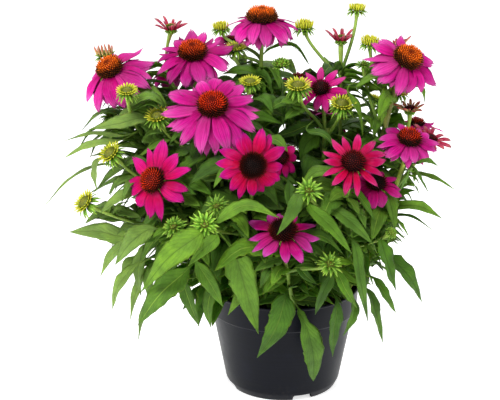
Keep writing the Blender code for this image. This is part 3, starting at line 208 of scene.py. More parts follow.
SEEN_LEAVES = leaves_of(
    (233, 250, -155, 245, 286, -152, 258.5, 334, -128, 31, 0, 0.8),
    (285, 297, -130, 277, 322, -140, 257, 358, -118, 29, 0, 0.42),
    (305, 324, -122, 311, 350, -124, 313.5, 381, -106, 27, 0, 0.5),
    (218, 221, -165, 246, 206, -172, 280, 218, -182, 15, 35, 0.85),
    (200, 234, -175, 175, 250, -185, 141, 292, -165, 29, 15, 0.98),
    (217, 237, -178, 204, 248, -185, 188, 266, -180, 15, 20, 0.85),
    (152, 229, -140, 132, 242, -160, 115, 265, -150, 24, 15, 0.7),
    (130, 240, -120, 113, 253, -130, 100, 277, -120, 12, 10),
    (127, 236, -100, 98, 231, -110, 69, 232, -105, 18, 40, 0.6),
    (104, 164, -60, 73, 177, -75, 43.5, 207, -75, 8, 0),
    (100, 158, -85, 95, 173, -95, 97, 191, -95, 15, 0),
    (122, 136, -40, 92, 134, -50, 64, 141, -50, 7, 20),
    (116, 141, -70, 88, 145, -85, 64, 158, -90, 11, 20),
    (146, 119, -50, 118, 124, -70, 91, 129, -80, 18, 30),
    (136, 190, -120, 115, 199, -130, 99, 214, -130, 13, 15),
    (133, 267, -120, 119, 283, -130, 112, 310, -118, 14, 0),
    (146, 246, -105, 138, 270, -115, 141, 297, -105, 21, 0),
    (184, 273, -150, 163, 292, -165, 138, 325, -150, 30, 10, 0.62),
    (160, 290, -105, 146, 308, -115, 138, 341, -100, 13, 0),
    (183, 280, -128, 189, 302, -135, 199.5, 327, -125, 17, 0, 0.4),
    (214, 283, -130, 209, 305, -136, 211, 328, -125, 14, 0, 0.45),
    (198, 265, -145, 209, 284, -152, 223, 307, -145, 18, 0),
    (245, 284, -125, 237, 299, -132, 228, 315, -126, 11, 0),
    (235, 214, -125, 243, 231, -135, 248, 250, -138, 14, 0),
    (289, 184, -120, 289, 199, -135, 294.5, 217, -140, 13, 0, 0.45),
    (310, 206, -150, 331, 227, -165, 352, 254, -158, 17, 0, 0.8),
    (332, 209, -125, 352, 223, -135, 373, 244, -130, 19, 10, 0.55),
    (392, 206, -50, 420, 206, -65, 443, 219, -65, 13, 30),
    (386, 215, -40, 410, 216, -50, 434, 231, -50, 5, 20),
    (389, 217, -60, 400, 224, -72, 409, 237, -72, 10, 0),
    (414, 173, -30, 435, 178, -40, 455.5, 190, -40, 8, 20),
    (413, 167, -60, 421, 180, -70, 429, 193, -70, 9, 0),
    (417, 163, -75, 429, 161, -85, 438, 166, -85, 8, 20),
    (408, 172, -40, 403, 182, -48, 398, 194, -45, 15, 0),
    (381, 241, -110, 387, 264, -122, 396, 291, -115, 20, 0, 0.55),
    (388, 256, -75, 407, 274, -90, 422, 302, -80, 22, 10, 0.5),
    (376, 280, -100, 386, 295, -108, 396, 313, -100, 13, 0),
    (354, 243, -135, 360, 281, -145, 368, 322, -125, 16, 0, 0.55),
    (369, 292, -95, 376, 314, -102, 383, 343, -92, 15, 0, 0.5),
    (337, 305, -120, 333, 329, -124, 332.5, 357, -108, 19, 0, 0.4),
    (354, 300, -85, 352, 317, -104, 343, 336, -98, 15, 0),
    (336, 272, -150, 346, 289, -158, 357, 308, -148, 14, 0, 0.75),
    (330, 275, -140, 323, 294, -146, 315, 315, -136, 15, 0),
    (297, 258, -130, 304, 272, -138, 318, 285, -135, 12, 10, 0.35),
    (413, 86, 10, 421, 88, 4, 425, 103, 0, 10, 20),
    (342, 81, 30, 360, 88, 20, 381, 106, 15, 12, 20),
    (348, 92, -10, 358, 112, -20, 363, 138, -15, 24, 0),
    (309, 131, -50, 324, 134, -62, 337, 150, -62, 12, 20),
    (352, 191, -90, 365, 204, -100, 375, 222, -98, 14, 0),
    (195, 160, -90, 203, 180, -105, 213, 203, -105, 25, 0, 0.35),
    (184, 197, -100, 197, 203, -115, 213, 216, -118, 13, 20),
    (283, 84, 0, 281, 108, -12, 285, 134, -10, 15, 0, 0.45),
    (190, 105, -30, 170, 120, -40, 160, 147, -45, 16, 0),
    (270, 138, -90, 279, 141, -100, 288, 152, -105, 14, 20),
)

# Leaves that only the looks have
MORE_LEAVES = leaves_of(
    (299, 196, -165, 292, 212, -190, 277, 235, -197, 15, 0, 0.5),
    (262, 80, 60, 244, 71, 50, 222, 74, 45, 26, 40, 0.72),
    (263, 84, 60, 281, 76, 55, 300, 80, 50, 24, 35, 0.7),
    (258, 88, 50, 244, 78, 45, 226, 84, 40, 26, 40, 0.5),
    (256, 92, 60, 268, 82, 60, 276, 92, 55, 26, 40, 0.42),
    (258, 96, 30, 240, 86, 20, 224, 92, 10, 26, 35, 0.6),
    (296, 96, 60, 284, 86, 55, 266, 90, 50, 24, 35, 0.55),
    (322, 112, 50, 306, 108, 45, 290, 118, 40, 22, 20),
    (216, 96, 60, 196, 86, 55, 176, 93, 50, 27, 45),
    (238, 92, 60, 226, 82, 55, 212, 86, 50, 27, 45),
    (356, 134, 70, 340, 122, 65, 324, 128, 60, 27, 40),
    (334, 132, 80, 350, 124, 75, 368, 132, 70, 27, 40),
    (318, 134, 20, 306, 142, 10, 300, 162, 0, 24, 25),
    (150, 262, -85, 130, 264, -92, 119, 288, -88, 21, 10, 0.7),
    (146, 270, -82, 136, 291, -90, 130, 321, -86, 16, 0, 0.85),
    (160, 262, -108, 151, 277, -116, 149, 303, -110, 20, 0, 0.55),
    (270, 118, 60, 284, 114, 55, 296, 126, 50, 26, 40),
    (340, 98, 60, 356, 88, 55, 372, 92, 50, 17, 20),
    (352, 116, 40, 366, 118, 30, 378, 134, 25, 20, 20),
    (150, 112, 20, 134, 104, 15, 116, 108, 10, 20, 25),
    (176, 104, 60, 160, 92, 55, 146, 96, 50, 18, 20),
)
# The crest of the leaf at the front whose stalk has wings, and the part of the picture outside
# which leaves that show are much wider than the CAD's
WINGED_LEAF, FAR_LEFT_PX, FAR_RIGHT_PX = (311, 350, -124), 120, 370
LEAF_WIDER, FAR_LEAF_WIDER = 1.05, 1.28

# The CAD's rule for the other leaves, with the turns, lifts and scales that it tried
GOLDEN_ANGLE = 137.5
LEAF_LENGTH = (0.128, 0.070)
LEAF_SHAPE = 0.27
LEAF_SPANS = (0.20, 0.40, 0.44)
LOWEST_LEAF = 0.18
HIGHEST_LEAF = 0.84
SWINGS = (0, 18, -18, 36, -36, 60, -60, 85, -85)
LIFTS = (0, 16, -16)
SCALES = (1.0, 0.78)
# The ball that holds those leaves: its centre and half sizes
CROWN_CENTRE = Vector((-0.045, 0.0, 0.262))
CROWN_HALF = Vector((0.212, 0.185, 0.200))
# The part of the picture where the pot shows, which those leaves leave free
POT_VIEW_TOP, POT_VIEW_LEFT, POT_VIEW_RIGHT = 306, 222, 350

# Bends of stems and branches, sideways and outward, shifts of a branch along its stem, and
# steps of a leaf toward the eye, that the CAD tried
BENDS = (
    (0.0, 0.0), (0.010, 0.0), (-0.010, 0.0), (0.0, 0.010), (0.0, -0.010), (0.022, 0.0),
    (-0.022, 0.0), (0.0, 0.022), (0.0, -0.022), (0.020, 0.020), (-0.020, 0.020),
    (0.020, -0.020), (-0.020, -0.020), (0.036, 0.0), (-0.036, 0.0), (0.0, 0.036), (0.0, -0.036),
)
SHIFTS = (0.0, -0.07, 0.07, -0.14, 0.12, -0.22)
NEARER = (0.0, 0.006, -0.006, 0.012, -0.012, 0.018, -0.018, 0.026, 0.034, -0.026)
FALL_COST, TURN_COST = 1.5, 0.04
STEM_STEPS = (0.0, 0.28, 0.54, 0.75, 0.90, 1.0)
BRANCH_STEPS = (0.0, 0.38, 0.74, 1.0)
BRANCH_RADIUS = 0.0016
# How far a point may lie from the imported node's own and still be the same; and how far the
# middle of a faceted tube is from its surface, as a share of its radius
SAME, INSIDE_TUBE = 0.0004, 0.87

# The fine surfaces. A leaf's or blade's cut: its rows, the places of its columns from edge to
# edge, how far each column stands out or is sunk, and its thickness
Cut = namedtuple("Cut", "rows columns relief thick")
SEEN_CUT = Cut(22, (-1.0, -0.72, -0.42, -0.17, 0.0, 0.17, 0.42, 0.72, 1.0),
               (0.0, 0.00008, -0.00008, 0.00014, -0.00035, 0.00014, -0.00008, 0.00008, 0.0), 0.0006)
RULE_CUT = Cut(15, (-1.0, -0.60, -0.20, 0.0, 0.20, 0.60, 1.0),
               (0.0, -0.00005, 0.00010, -0.00030, 0.00010, -0.00005, 0.0), 0.0006)
INNER_CUT = Cut(9, (-1.0, -0.45, 0.0, 0.45, 1.0), (0.0, 0.00005, -0.00025, 0.00005, 0.0), 0.0005)
PETAL_CUT = Cut(14, (-1.0, -0.68, -0.34, 0.0, 0.34, 0.68, 1.0),
                (0.0, 0.00024, -0.00022, 0.00022, -0.00022, 0.00024, 0.0), 0.0006)
QUILL_CUT = PETAL_CUT._replace(rows=8)
BRACT_CUT = Cut(5, (-1.0, 0.0, 1.0), (0.0, 0.0, 0.0), 0.0009)
PETAL_NOTCH = (0.24, 0.05, 0.11, 0.0, 0.12, 0.06, 0.22)
FINE_STEPS = 22


# Places and directions

def seen(px, py, y):
    """The point at depth y on the line of sight through a point of the picture."""
    across = RIGHT * ((px - CENTRE_PX[0]) / FOCAL_PX)
    ray = AHEAD + across + ABOVE * ((CENTRE_PX[1] - py) / FOCAL_PX)
    return EYE + ray * ((y - EYE.y) / ray.y)


def in_picture(point):
    """The picture coordinates of a point."""
    ray = point - EYE
    scale = FOCAL_PX / ray.dot(AHEAD)
    return CENTRE_PX[0] + ray.x * scale, CENTRE_PX[1] - ray.dot(ABOVE) * scale


def around(angle, radius=1.0, height=0.0):
    """The point at an angle and a distance from the axis, and at a height."""
    return Vector((radius * math.cos(angle), radius * math.sin(angle), height))


def angles(count):
    return [math.tau * i / count for i in range(count)]


def on_ball(polar, azimuth):
    """The direction that leaves local +Z by one angle toward another, in radians."""
    level = math.sin(polar)
    return Vector((level * math.cos(azimuth), level * math.sin(azimuth), math.cos(polar)))


def leaning(lean, toward):
    """The direction that leans so many degrees from upright toward an azimuth."""
    return on_ball(math.radians(lean), math.radians(toward))


def standing(axis, spot):
    """The transform that stands local +Z along an axis at a spot."""
    turn = axis.to_track_quat("Z", "Y").to_matrix().to_4x4()
    turn.translation = spot
    return turn


def bezier(route, t):
    a, b, c, d = route
    u = 1.0 - t
    return a * (u * u * u) + b * (3 * u * u * t) + c * (3 * u * t * t) + d * (t * t * t)


def on_tube(route, steps, t):
    """The point at t on the straight runs of the CAD's tube along the route."""
    last = max(k for k, step in enumerate(steps[:-1]) if step <= t)
    share = (t - steps[last]) / (steps[last + 1] - steps[last])
    return bezier(route, steps[last]).lerp(bezier(route, steps[last + 1]), share)


def smooth(points, u):
    """The point at u on a curve through the points, which are at whole numbers of u."""
    last = len(points) - 1
    first = min(int(u), last - 1)
    start, end, t = points[first], points[first + 1], u - first
    span = (end - start).length
    leave, arrive = slope_at(points, first) * span, slope_at(points, first + 1) * span
    blend = start * (2 * t ** 3 - 3 * t ** 2 + 1) + end * (3 * t ** 2 - 2 * t ** 3)
    return blend + leave * (t ** 3 - 2 * t ** 2 + t) + arrive * (t ** 3 - t ** 2)


def slope_at(points, i):
    """The curve's direction at one of its points, the nearer neighbour counting more."""
    if i == 0:
        return (points[1] - points[0]).normalized()
    if i == len(points) - 1:
        return (points[i] - points[i - 1]).normalized()
    before, after = points[i] - points[i - 1], points[i + 1] - points[i]
    mixed = before.normalized() * after.length + after.normalized() * before.length
    return mixed / (before.length + after.length)


def heading(points, u, step=0.02):
    ahead = smooth(points, min(u + step, len(points) - 1))
    return (ahead - smooth(points, max(u - step, 0.0))).normalized()


# Colours

def rgb(red, green, blue):
    """A screen colour, 0 to 255, as linear light."""
    parts = (red / 255, green / 255, blue / 255)
    return Vector([p / 12.92 if p <= 0.04045 else ((p + 0.055) / 1.055) ** 2.4 for p in parts])


def along_stops(stops, share):
    """The colour at a share of the way through evenly spaced colours."""
    place = min(max(share, 0.0), 1.0) * (len(stops) - 1)
    first = min(int(place), len(stops) - 2)
    return stops[first].lerp(stops[first + 1], place - first)


def ease(low, high, value):
    t = min(max((value - low) / (high - low), 0.0), 1.0)
    return t * t * (3 - 2 * t)


# Petals, from the root to the tip
PETALS = {
    "mauve": (rgb(146, 0, 74), rgb(180, 10, 112), rgb(196, 28, 136), rgb(214, 92, 170)),
    "magenta": (rgb(158, 0, 48), rgb(180, 4, 72), rgb(180, 8, 100), rgb(186, 36, 130)),
    "crimson": (rgb(150, 0, 34), rgb(176, 2, 54), rgb(180, 6, 84), rgb(174, 18, 128)),
    "bright": (rgb(128, 0, 44), rgb(154, 2, 82), rgb(162, 10, 108), rgb(184, 76, 158)),
    "scarlet": (rgb(152, 0, 36), rgb(180, 2, 56), rgb(184, 8, 84), rgb(204, 66, 130)),
    "plum": (rgb(140, 0, 64), rgb(170, 6, 92), rgb(180, 20, 116), rgb(198, 66, 144)),
    "quilled": (rgb(156, 0, 76), rgb(190, 10, 112), rgb(200, 34, 134), rgb(210, 86, 148)),
    "rosy": (rgb(166, 50, 60), rgb(182, 46, 74), rgb(192, 66, 92), rgb(210, 130, 130)),
    "cream": (rgb(150, 156, 70), rgb(196, 176, 108), rgb(204, 140, 100), rgb(196, 60, 70)),
}
# Cones: the bristles' tips on top, their tips low down, their middles, and the core
DISCS = {
    "orange": (rgb(250, 122, 28), rgb(60, 32, 16), rgb(186, 62, 14), rgb(20, 11, 7)),
    "amber": (rgb(248, 118, 30), rgb(58, 34, 18), rgb(182, 64, 16), rgb(22, 14, 9)),
    "rust": (rgb(232, 84, 22), rgb(54, 28, 14), rgb(168, 40, 12), rgb(18, 10, 7)),
    "red": (rgb(218, 60, 20), rgb(46, 24, 14), rgb(162, 26, 12), rgb(16, 10, 7)),
    "wine": (rgb(120, 24, 22), rgb(66, 14, 14), rgb(58, 6, 8), rgb(12, 6, 6)),
    "black": (rgb(46, 14, 8), rgb(92, 20, 14), rgb(22, 7, 5), rgb(8, 4, 3)),
    "green": (rgb(160, 158, 44), rgb(110, 128, 36), rgb(88, 106, 28), rgb(34, 46, 14)),
}
LEAF_GREENS = (rgb(36, 64, 16), rgb(52, 88, 20), rgb(70, 110, 24), rgb(96, 136, 32))
PALE_GREEN = rgb(130, 156, 80)
STALK_GREENS = (rgb(84, 116, 42), rgb(118, 150, 54), rgb(152, 180, 74))
BRIGHT_STALK = (rgb(110, 142, 48), rgb(160, 184, 68), rgb(180, 198, 84))
THICK_STALK = (rgb(98, 98, 48), rgb(120, 120, 58), rgb(130, 136, 64))
BRACT_GREENS = (rgb(62, 108, 24), rgb(106, 156, 38), rgb(160, 196, 72))
RING_RAYS = (rgb(130, 158, 30), rgb(200, 204, 44), rgb(232, 226, 74))
BUD_CORE = (rgb(44, 62, 14), rgb(92, 104, 26), rgb(140, 138, 42))
HAIR = rgb(176, 188, 128)


# Surfaces

class Skin:
    """The points and faces of one piece. A point has a tint and a place on its blade: across
    from -1 to 1, along from 0 to 1, and a tone from 0 to 1 that is the blade's own."""

    def __init__(self):
        self.points, self.faces, self.places, self.tints = [], [], [], []

    def add(self, point, place, tint):
        self.points.append(point)
        self.places.append(place)
        self.tints.append(tint)
        return len(self.points) - 1

    def sheet(self, rows, columns, thick, tints, tone):
        """A closed sheet whose faces meet along its border. A row is its points and normals."""
        last, wide = len(rows) - 1, len(columns) - 1
        above, below = [], []
        for i, row in enumerate(rows):
            tint = along_stops(tints, i / last)
            above.append([])
            below.append([])
            for j, (point, normal) in enumerate(row):
                place = (columns[j], i / last, tone)
                inside = 0 < i < last and 0 < j < wide
                over = self.add(point + normal * (thick / 2) if inside else point, place, tint)
                above[i].append(over)
                below[i].append(self.add(point - normal * (thick / 2), place, tint) if inside else over)
        for i, j in itertools.product(range(last), range(wide)):
            for side, order in ((above, 1), (below, -1)):
                corners = (side[i][j], side[i][j + 1], side[i + 1][j + 1], side[i + 1][j])
                self.faces.append(corners[::order])

    def ring(self, spots, sides, along, tone, tint):
        return [self.add(spot, (i / sides, along, tone), tint) for i, spot in enumerate(spots)]

    def join(self, rings, sides):
        """Faces between rings of points, of which a ring with one point is a tip."""
        for near, far in zip(rings, rings[1:]):
            for i in range(sides):
                after = (i + 1) % sides
                if len(near) == 1:
                    self.faces.append((near[0], far[after], far[i]))
                elif len(far) == 1:
                    self.faces.append((near[i], near[after], far[0]))
                else:
                    self.faces.append((near[i], near[after], far[after], far[i]))

    def tube(self, spots, radii, sides, tints, tone=0.5):
        """A closed tube that may taper to a point at its end."""
        last = len(spots) - 1
        side = (spots[1] - spots[0]).orthogonal().normalized()
        rings = []
        for k, (spot, radius) in enumerate(zip(spots, radii)):
            along = (spots[min(k + 1, last)] - spots[max(k - 1, 0)]).normalized()
            side = (side - along * side.dot(along)).normalized()
            other, round_it = along.cross(side), [spot]
            if radius > 0.0:
                round_it = [spot + (side * math.cos(angle) + other * math.sin(angle)) * radius
                            for angle in angles(sides)]
            rings.append(self.ring(round_it, sides, k / last, tone, along_stops(tints, k / last)))
        self.faces.append(tuple(reversed(rings[0])))
        self.join(rings, sides)
        if len(rings[-1]) > 1:
            self.faces.append(tuple(rings[-1]))

    def dome(self, stand, profile, sides, tints, tone=0.5):
        """A closed turned form: its profile of (radius, height) starts and ends on the axis, and
        its faces look outward if it runs from the bottom up."""
        last, rings = len(profile) - 1, []
        for k, (radius, height) in enumerate(profile):
            spots = [stand @ around(angle, radius, height)
                     for angle in angles(sides if radius > 0.0 else 1)]
            rings.append(self.ring(spots, sides, k / last, tone, along_stops(tints, k / last)))
        self.join(rings, sides)

    def piece(self, name, material, slot, node):
        """The finished piece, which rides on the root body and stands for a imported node."""
        mesh = bpy.data.meshes.new(name)
        mesh.from_pydata([in_box(point) for point in self.points], [], self.faces)
        place = mesh.attributes.new("place", "FLOAT_VECTOR", "POINT")
        place.data.foreach_set("vector", list(itertools.chain(*self.places)))
        tint = mesh.attributes.new("tint", "FLOAT_COLOR", "POINT")
        tint.data.foreach_set("color", [value for tint in self.tints for value in (*tint, 1.0)])
        mesh.shade_smooth()
        placed(name, mesh, material, node)


def in_box(point):
    """The point, or the nearest one to it in the CAD's box."""
    return tuple(min(max(value, low), high) for value, low, high in zip(point, *cad_box))


def placed(name, mesh, material, node):
    made = add_object(name, mesh)
    mesh.materials.append(material)
    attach(made, "root")
    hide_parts(node)


def add_object(name, data):
    """A new object in the scene."""
    made = bpy.data.objects.new(name, data)
    bpy.context.scene.collection.objects.link(made)
    return made


# Blades: petals, bracts and leaves

# A petal's outline: where along it is widest, its width at the root as a share of that, and how
# much of the width it loses by its tip
PETAL_WIDEST, PETAL_FOOT, PETAL_NARROWING = 0.48, 0.36, 0.86


def pointed(s, rise=0.7, fall=1.25):
    """The share of a leaf's full width at s: widest at rise / (rise + fall), with a long tip."""
    peak = rise / (rise + fall)
    if s <= 0.0 or s >= 1.0:
        return 0.0
    return s ** rise * (1.0 - s) ** fall / (peak ** rise * (1.0 - peak) ** fall)


def petal_outline(s):
    if s < PETAL_WIDEST:
        return PETAL_FOOT + (1.0 - PETAL_FOOT) * math.sin(s / PETAL_WIDEST * math.pi / 2)
    return 1.0 - PETAL_NARROWING * ((s - PETAL_WIDEST) / (1.0 - PETAL_WIDEST)) ** 1.6


def bract_outline(s):
    return 0.06 + 0.94 * pointed(0.08 + 0.92 * s, 0.5, 0.9)


def quill_outline(s):
    return 0.55 + 0.45 * math.sin(s * math.pi) if s < 0.9 else 0.35


# How the blades of a whorl are shaped. cup: how far the sides bend up, as a share of half the
# width; wild: how far the blades may twist, fold, sway and curl
Blade = namedtuple("Blade", "outline cut notch cup wild")
PETAL = Blade(petal_outline, PETAL_CUT, PETAL_NOTCH, -0.10, 1.0)
QUILL = Blade(quill_outline, QUILL_CUT, PETAL_NOTCH, 0.9, 0.3)
BRACT = Blade(bract_outline, BRACT_CUT, (0.0,) * 3, 0.45, 0.35)


def whorl_blade(skin, stand, blade, angle, root, reach, width, slopes, tints, draw):
    """A blade that leaves a head at an angle. root: its distance from the axis and its height;
    slopes: in degrees at its root and at its tip."""
    out, side = around(angle), Vector((math.sin(angle), -math.cos(angle), 0.0))
    turn, wild, rows = stand.to_3x3(), blade.wild, blade.cut.rows
    sway, phase = draw.uniform(-0.06, 0.06) * (1.0 + 1.4 * wild) * reach, draw.uniform(0.0, math.tau)
    twist, fold = draw.uniform(-0.55, 0.55) * wild, blade.cup + draw.uniform(-0.22, 0.34) * wild
    curl = draw.uniform(-38.0, 46.0) * wild
    teeth = [notch * draw.uniform(1.0 - 0.6 * wild, 1.0 + 0.5 * wild) for notch in blade.notch]
    path = [(*root, math.radians(slopes[0]))]
    for i in range(rows):
        s = (i + 0.5) / rows
        slope = math.radians(slopes[0] + (slopes[1] - slopes[0]) * s + curl * ease(0.62, 1.0, s))
        radius = path[-1][0] + math.cos(slope) * reach / rows
        path.append((radius, path[-1][1] + math.sin(slope) * reach / rows, slope))
    lines = []
    for i in range(rows + 1):
        line = []
        for a, relief, notch in zip(blade.cut.columns, blade.cut.relief, teeth):
            s = i / rows * (1.0 - notch)
            radius, height, slope = between(path, s * rows)
            normal = UP * math.cos(slope) - out * math.sin(slope)
            half = width / 2 * blade.outline(s)
            wave = (0.04 + 0.09 * wild) * math.sin(phase + s * 6.0 + a) * abs(a)
            lift = half * (fold * a * a + wave) + relief * ease(0.0, 0.2, s)
            across = side * (a * half + sway * s * s) + normal * (lift + a * half * twist * s)
            line.append((stand @ (out * radius + UP * height + across), turn @ normal))
        lines.append(line)
    skin.sheet(lines, blade.cut.columns, blade.cut.thick, tints, draw.random())


def between(path, place):
    """The values at a place, in whole steps, along a list of tuples."""
    first = min(int(place), len(path) - 2)
    share = place - first
    return [a + (b - a) * share for a, b in zip(path[first], path[first + 1])]


def leaf_across(rib, roll, tilt=0.35):
    """The direction across a leaf at its crest. Its face looks up, or outward where it hangs
    and by the tilt, and is rolled toward the eye by the roll."""
    along = heading(rib, 2.0)
    outward = Vector((rib[2].x - CROWN_CENTRE.x, rib[2].y, 0.0)).normalized()
    steep = min(along.z, 0.0) ** 2
    across = along.cross(UP * (1.0 - steep) + outward * (tilt + steep)).normalized()
    turn = math.radians(roll)
    if across.dot(EYE - rib[2]) > 0.0:
        turn = -turn
    return across * math.cos(turn) + across.cross(along) * math.sin(turn)


def leaf(skin, rib, width, roll, cut, form, tint, draw):
    """A leaf along its midrib's four points. form: where on the midrib the blade starts, the two
    numbers of its shape, the width of the wings along its stalk as a share of the blade's, and
    its tilt."""
    start, rise, fall, wing, tilt = form
    across, last = leaf_across(rib, roll, tilt), len(rib) - 1
    phase, waves = draw.uniform(0.0, math.tau), draw.uniform(1.6, 3.0)
    teeth, bend = draw.uniform(0.0, 60.0), draw.uniform(-0.10, 0.10)
    foot = max(start - WING_SPAN, 0.12)
    rows = []
    for i in range(cut.rows + 1):
        u = foot + (last - foot) * i / cut.rows
        along, centre = heading(rib, u), smooth(rib, u)
        side = (across - along * across.dot(along)).normalized()
        normal = side.cross(along)
        s = (u - start) / (last - start)
        wings = wing * ease(foot, foot + 0.3, u) * min(1.0, 1.0 - s)
        half = width / 2 * math.hypot(pointed(s, rise, fall), wings)
        row = []
        for a, relief in zip(cut.columns, cut.relief):
            tooth = noise.noise(Vector((u * TEETH, 3.0 * a, teeth)))
            ragged = 1.0 + (TOOTH * tooth if abs(a) == 1.0 else 0.0)
            wave = 0.10 * math.sin(phase + a * 1.4 + s * waves * math.tau) * abs(a) ** 1.5
            lift = half * (0.20 * abs(a) + wave) + relief * min(1.0, half / 0.004)
            sway = bend * width * math.sin(max(s, 0.0) * math.pi)
            reach = max(half * ragged, 0.0003) * a + sway
            row.append((centre + side * reach + normal * lift, normal))
        rows.append(row)
    skin.sheet(rows, cut.columns, cut.thick, (tint, tint), draw.random())
    grow_rib(skin, rib, across, cut, tint)


def grow_rib(skin, rib, across, cut, tint):
    """A leaf's stalk, which runs on below the blade as a thinning rib."""
    steps, sides = (12, 6) if cut is SEEN_CUT else (6, 4)
    spots, radii = [], []
    for k in range(steps + 1):
        u = 2.9 * k / steps
        along = heading(rib, u)
        side = (across - along * across.dot(along)).normalized()
        radius = 0.0011 - 0.00095 * (k / steps) ** 0.7
        spots.append(smooth(rib, u) - side.cross(along) * radius * 0.9 * ease(0.0, 1.0, u))
        radii.append(radius)
    skin.tube(spots, radii, sides, (tint.lerp(STALK_GREENS[1], 0.6), tint), 1.0)


# The forms of leaves: those that show, that of the front, with wings down its stalk, those of
# the CAD's rule and those that fill the crown
SEEN_FORM, WINGED_FORM = (0.90, 0.62, 1.15, 0.10, 0.35), (0.95, 0.62, 0.85, 0.34, 0.35)
PLAIN_FORM, INNER_FORM = (0.25, 0.8, 0.9, 0.10, 0.35), (0.30, 0.75, 0.95, 0.12, 0.90)
WING_SPAN, TEETH, TOOTH = 0.55, 8.0, 0.15


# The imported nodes

class Packed:
    """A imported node's ball, surface and points, to find the path or leaf that the CAD took."""

    def __init__(self, name):
        mesh = frame["nodes"][name].data
        spots = [vert.co.copy() for vert in mesh.vertices]
        self.surface = BVHTree.FromPolygons(spots, [tuple(face.vertices) for face in mesh.polygons])
        self.body = (*ball_round(spots), self.surface)
        self.corners = KDTree(len(spots))
        for k, spot in enumerate(spots):
            self.corners.insert(spot, k)
        self.corners.balance()

    def off_tube(self, route, steps, radius):
        """How far a route's inner steps are from the middle of a faceted tube of that radius."""
        return sum(abs(self.surface.find_nearest(bezier(route, t))[3] - radius * INSIDE_TUBE)
                   for t in steps[1:-1])

    def off_corner(self, spot):
        return self.corners.find(spot)[2]


def ball_round(points):
    """The centre and radius of a ball that holds the points."""
    low = Vector([min(point[i] for point in points) for i in range(3)])
    high = Vector([max(point[i] for point in points) for i in range(3)])
    return (low + high) / 2, (high - low).length / 2


def leaf_tree(rib, width):
    """A leaf's ball and a plain surface through its blade."""
    across, points = leaf_across(rib, 0.0, INNER_FORM[-1]), []
    for u, share in ((0.5, 0.2), (1.0, 0.8), (1.6, 1.0), (2.3, 0.75)):
        centre, half = smooth(rib, u), width / 2 * share
        points += [centre - across * half, centre + across * half]
    points.append(rib[3])
    tree = BVHTree.FromPolygons(points, [(k, k + 1, k + 3, k + 2) for k in (0, 2, 4)] + [(6, 7, 8)])
    return *ball_round(points), tree


def hides_a_bloom(spot):
    """True if a leaf there would stand before a bloom, a bud or the pot in the picture."""
    px, py = in_picture(spot)
    if py > POT_VIEW_TOP and POT_VIEW_LEFT < px < POT_VIEW_RIGHT and spot.y < 0.0:
        return True
    heads = [(bloom, bloom.cone + bloom.reach * 0.8) for bloom in BLOOMS + OPENING]
    heads += [(bud, bud.size) for bud in BUDS]
    for head, size in heads:
        if spot.y < head.y - BEFORE and math.hypot(px - head.px, py - head.py) < size / MM_PER_PX:
            return True
    return False


def in_crown(spot):
    return sum(((spot[i] - CROWN_CENTRE[i]) / CROWN_HALF[i]) ** 2 for i in range(3)) < 1.0


# The paths of stems, branches and leaves

def bloom_place(bloom):
    """Where a bloom's hub is, its axis, and where its stem ends inside the cup of bracts."""
    spot, axis = seen(bloom.px, bloom.py, bloom.y), leaning(bloom.lean, bloom.toward)
    return spot, axis, spot - axis * (HUB_THICKNESS + GAP + bloom.cone / 1000 * CUP_DEPTH / 2)


def bloom_stand(bloom):
    """The transform that stands local +Z along a bloom's axis at its hub, and its cone's radius."""
    spot, axis, end = bloom_place(bloom)
    return standing(axis, spot), bloom.cone / 1000


def bud_place(bud):
    spot, axis = seen(bud.px, bud.py, bud.y), leaning(bud.lean, bud.toward)
    return spot, axis, spot - axis * bud.size / 1000 * 0.1


def stem_route(foot, end, axis, bend):
    """The path of a main stem: up from its foot, then along its bloom's axis."""
    rise = end.z - foot.z
    away = Vector((end.x - foot.x, end.y - foot.y, 0.0))
    shift = UP.cross(away).normalized() * bend[0] + away.normalized() * bend[1]
    first = foot + (UP * 0.92 + away * 0.5 / max(away.length, 0.05)).normalized() * rise * 0.42
    second = end - axis * min(0.075, rise * 0.28)
    return foot, first + shift, second + shift * 0.5, end


def branch_route(start, tangent, end, axis, bend):
    """The path of a side branch: off the stem at an angle, then along its head's axis."""
    span = (end - start).length
    toward = (end - start).normalized()
    aside = toward.cross(UP).normalized()
    shift = aside * bend[0] + aside.cross(toward) * bend[1]
    first = start + (tangent * 0.5 + toward * 0.6).normalized() * span * 0.36
    second = end - axis * span * 0.36
    return start, first + shift, second + shift * 0.5, end


def rule_leaf(stem, k, start, length, azimuth, lift, scale):
    """The four midrib points and the width of a leaf of the rule."""
    draw = random.Random(f"leaf {stem.name} {k}")
    length = length * scale * draw.uniform(0.88, 1.1)
    slopes = (42 + lift + draw.uniform(-8, 8), 8 + lift * 0.8 + draw.uniform(-10, 10),
              -38 + lift * 0.6 + draw.uniform(-14, 10))
    return leaf_rib(start, around(azimuth), slopes, length), length * LEAF_SHAPE


def leaf_rib(start, out, slopes, length):
    """A midrib's four points, by the slopes of its three spans."""
    rib = [start]
    for slope, share in zip(slopes, LEAF_SPANS):
        slope = math.radians(slope)
        rib.append(rib[-1] + (out * math.cos(slope) + UP * math.sin(slope)) * length * share)
    return rib


class Line(namedtuple("Line", "stem route fine steps radius taper head")):
    """A stem or a branch: the stem's name, the CAD's path, the fine one, the steps of the CAD's
    tube along its path, the radius at the foot and how it tapers, and what the line carries."""

    @property
    def is_stem(self):
        return self.steps == STEM_STEPS

    def radius_at(self, t):
        return self.radius * (self.taper[0] - self.taper[1] * t)


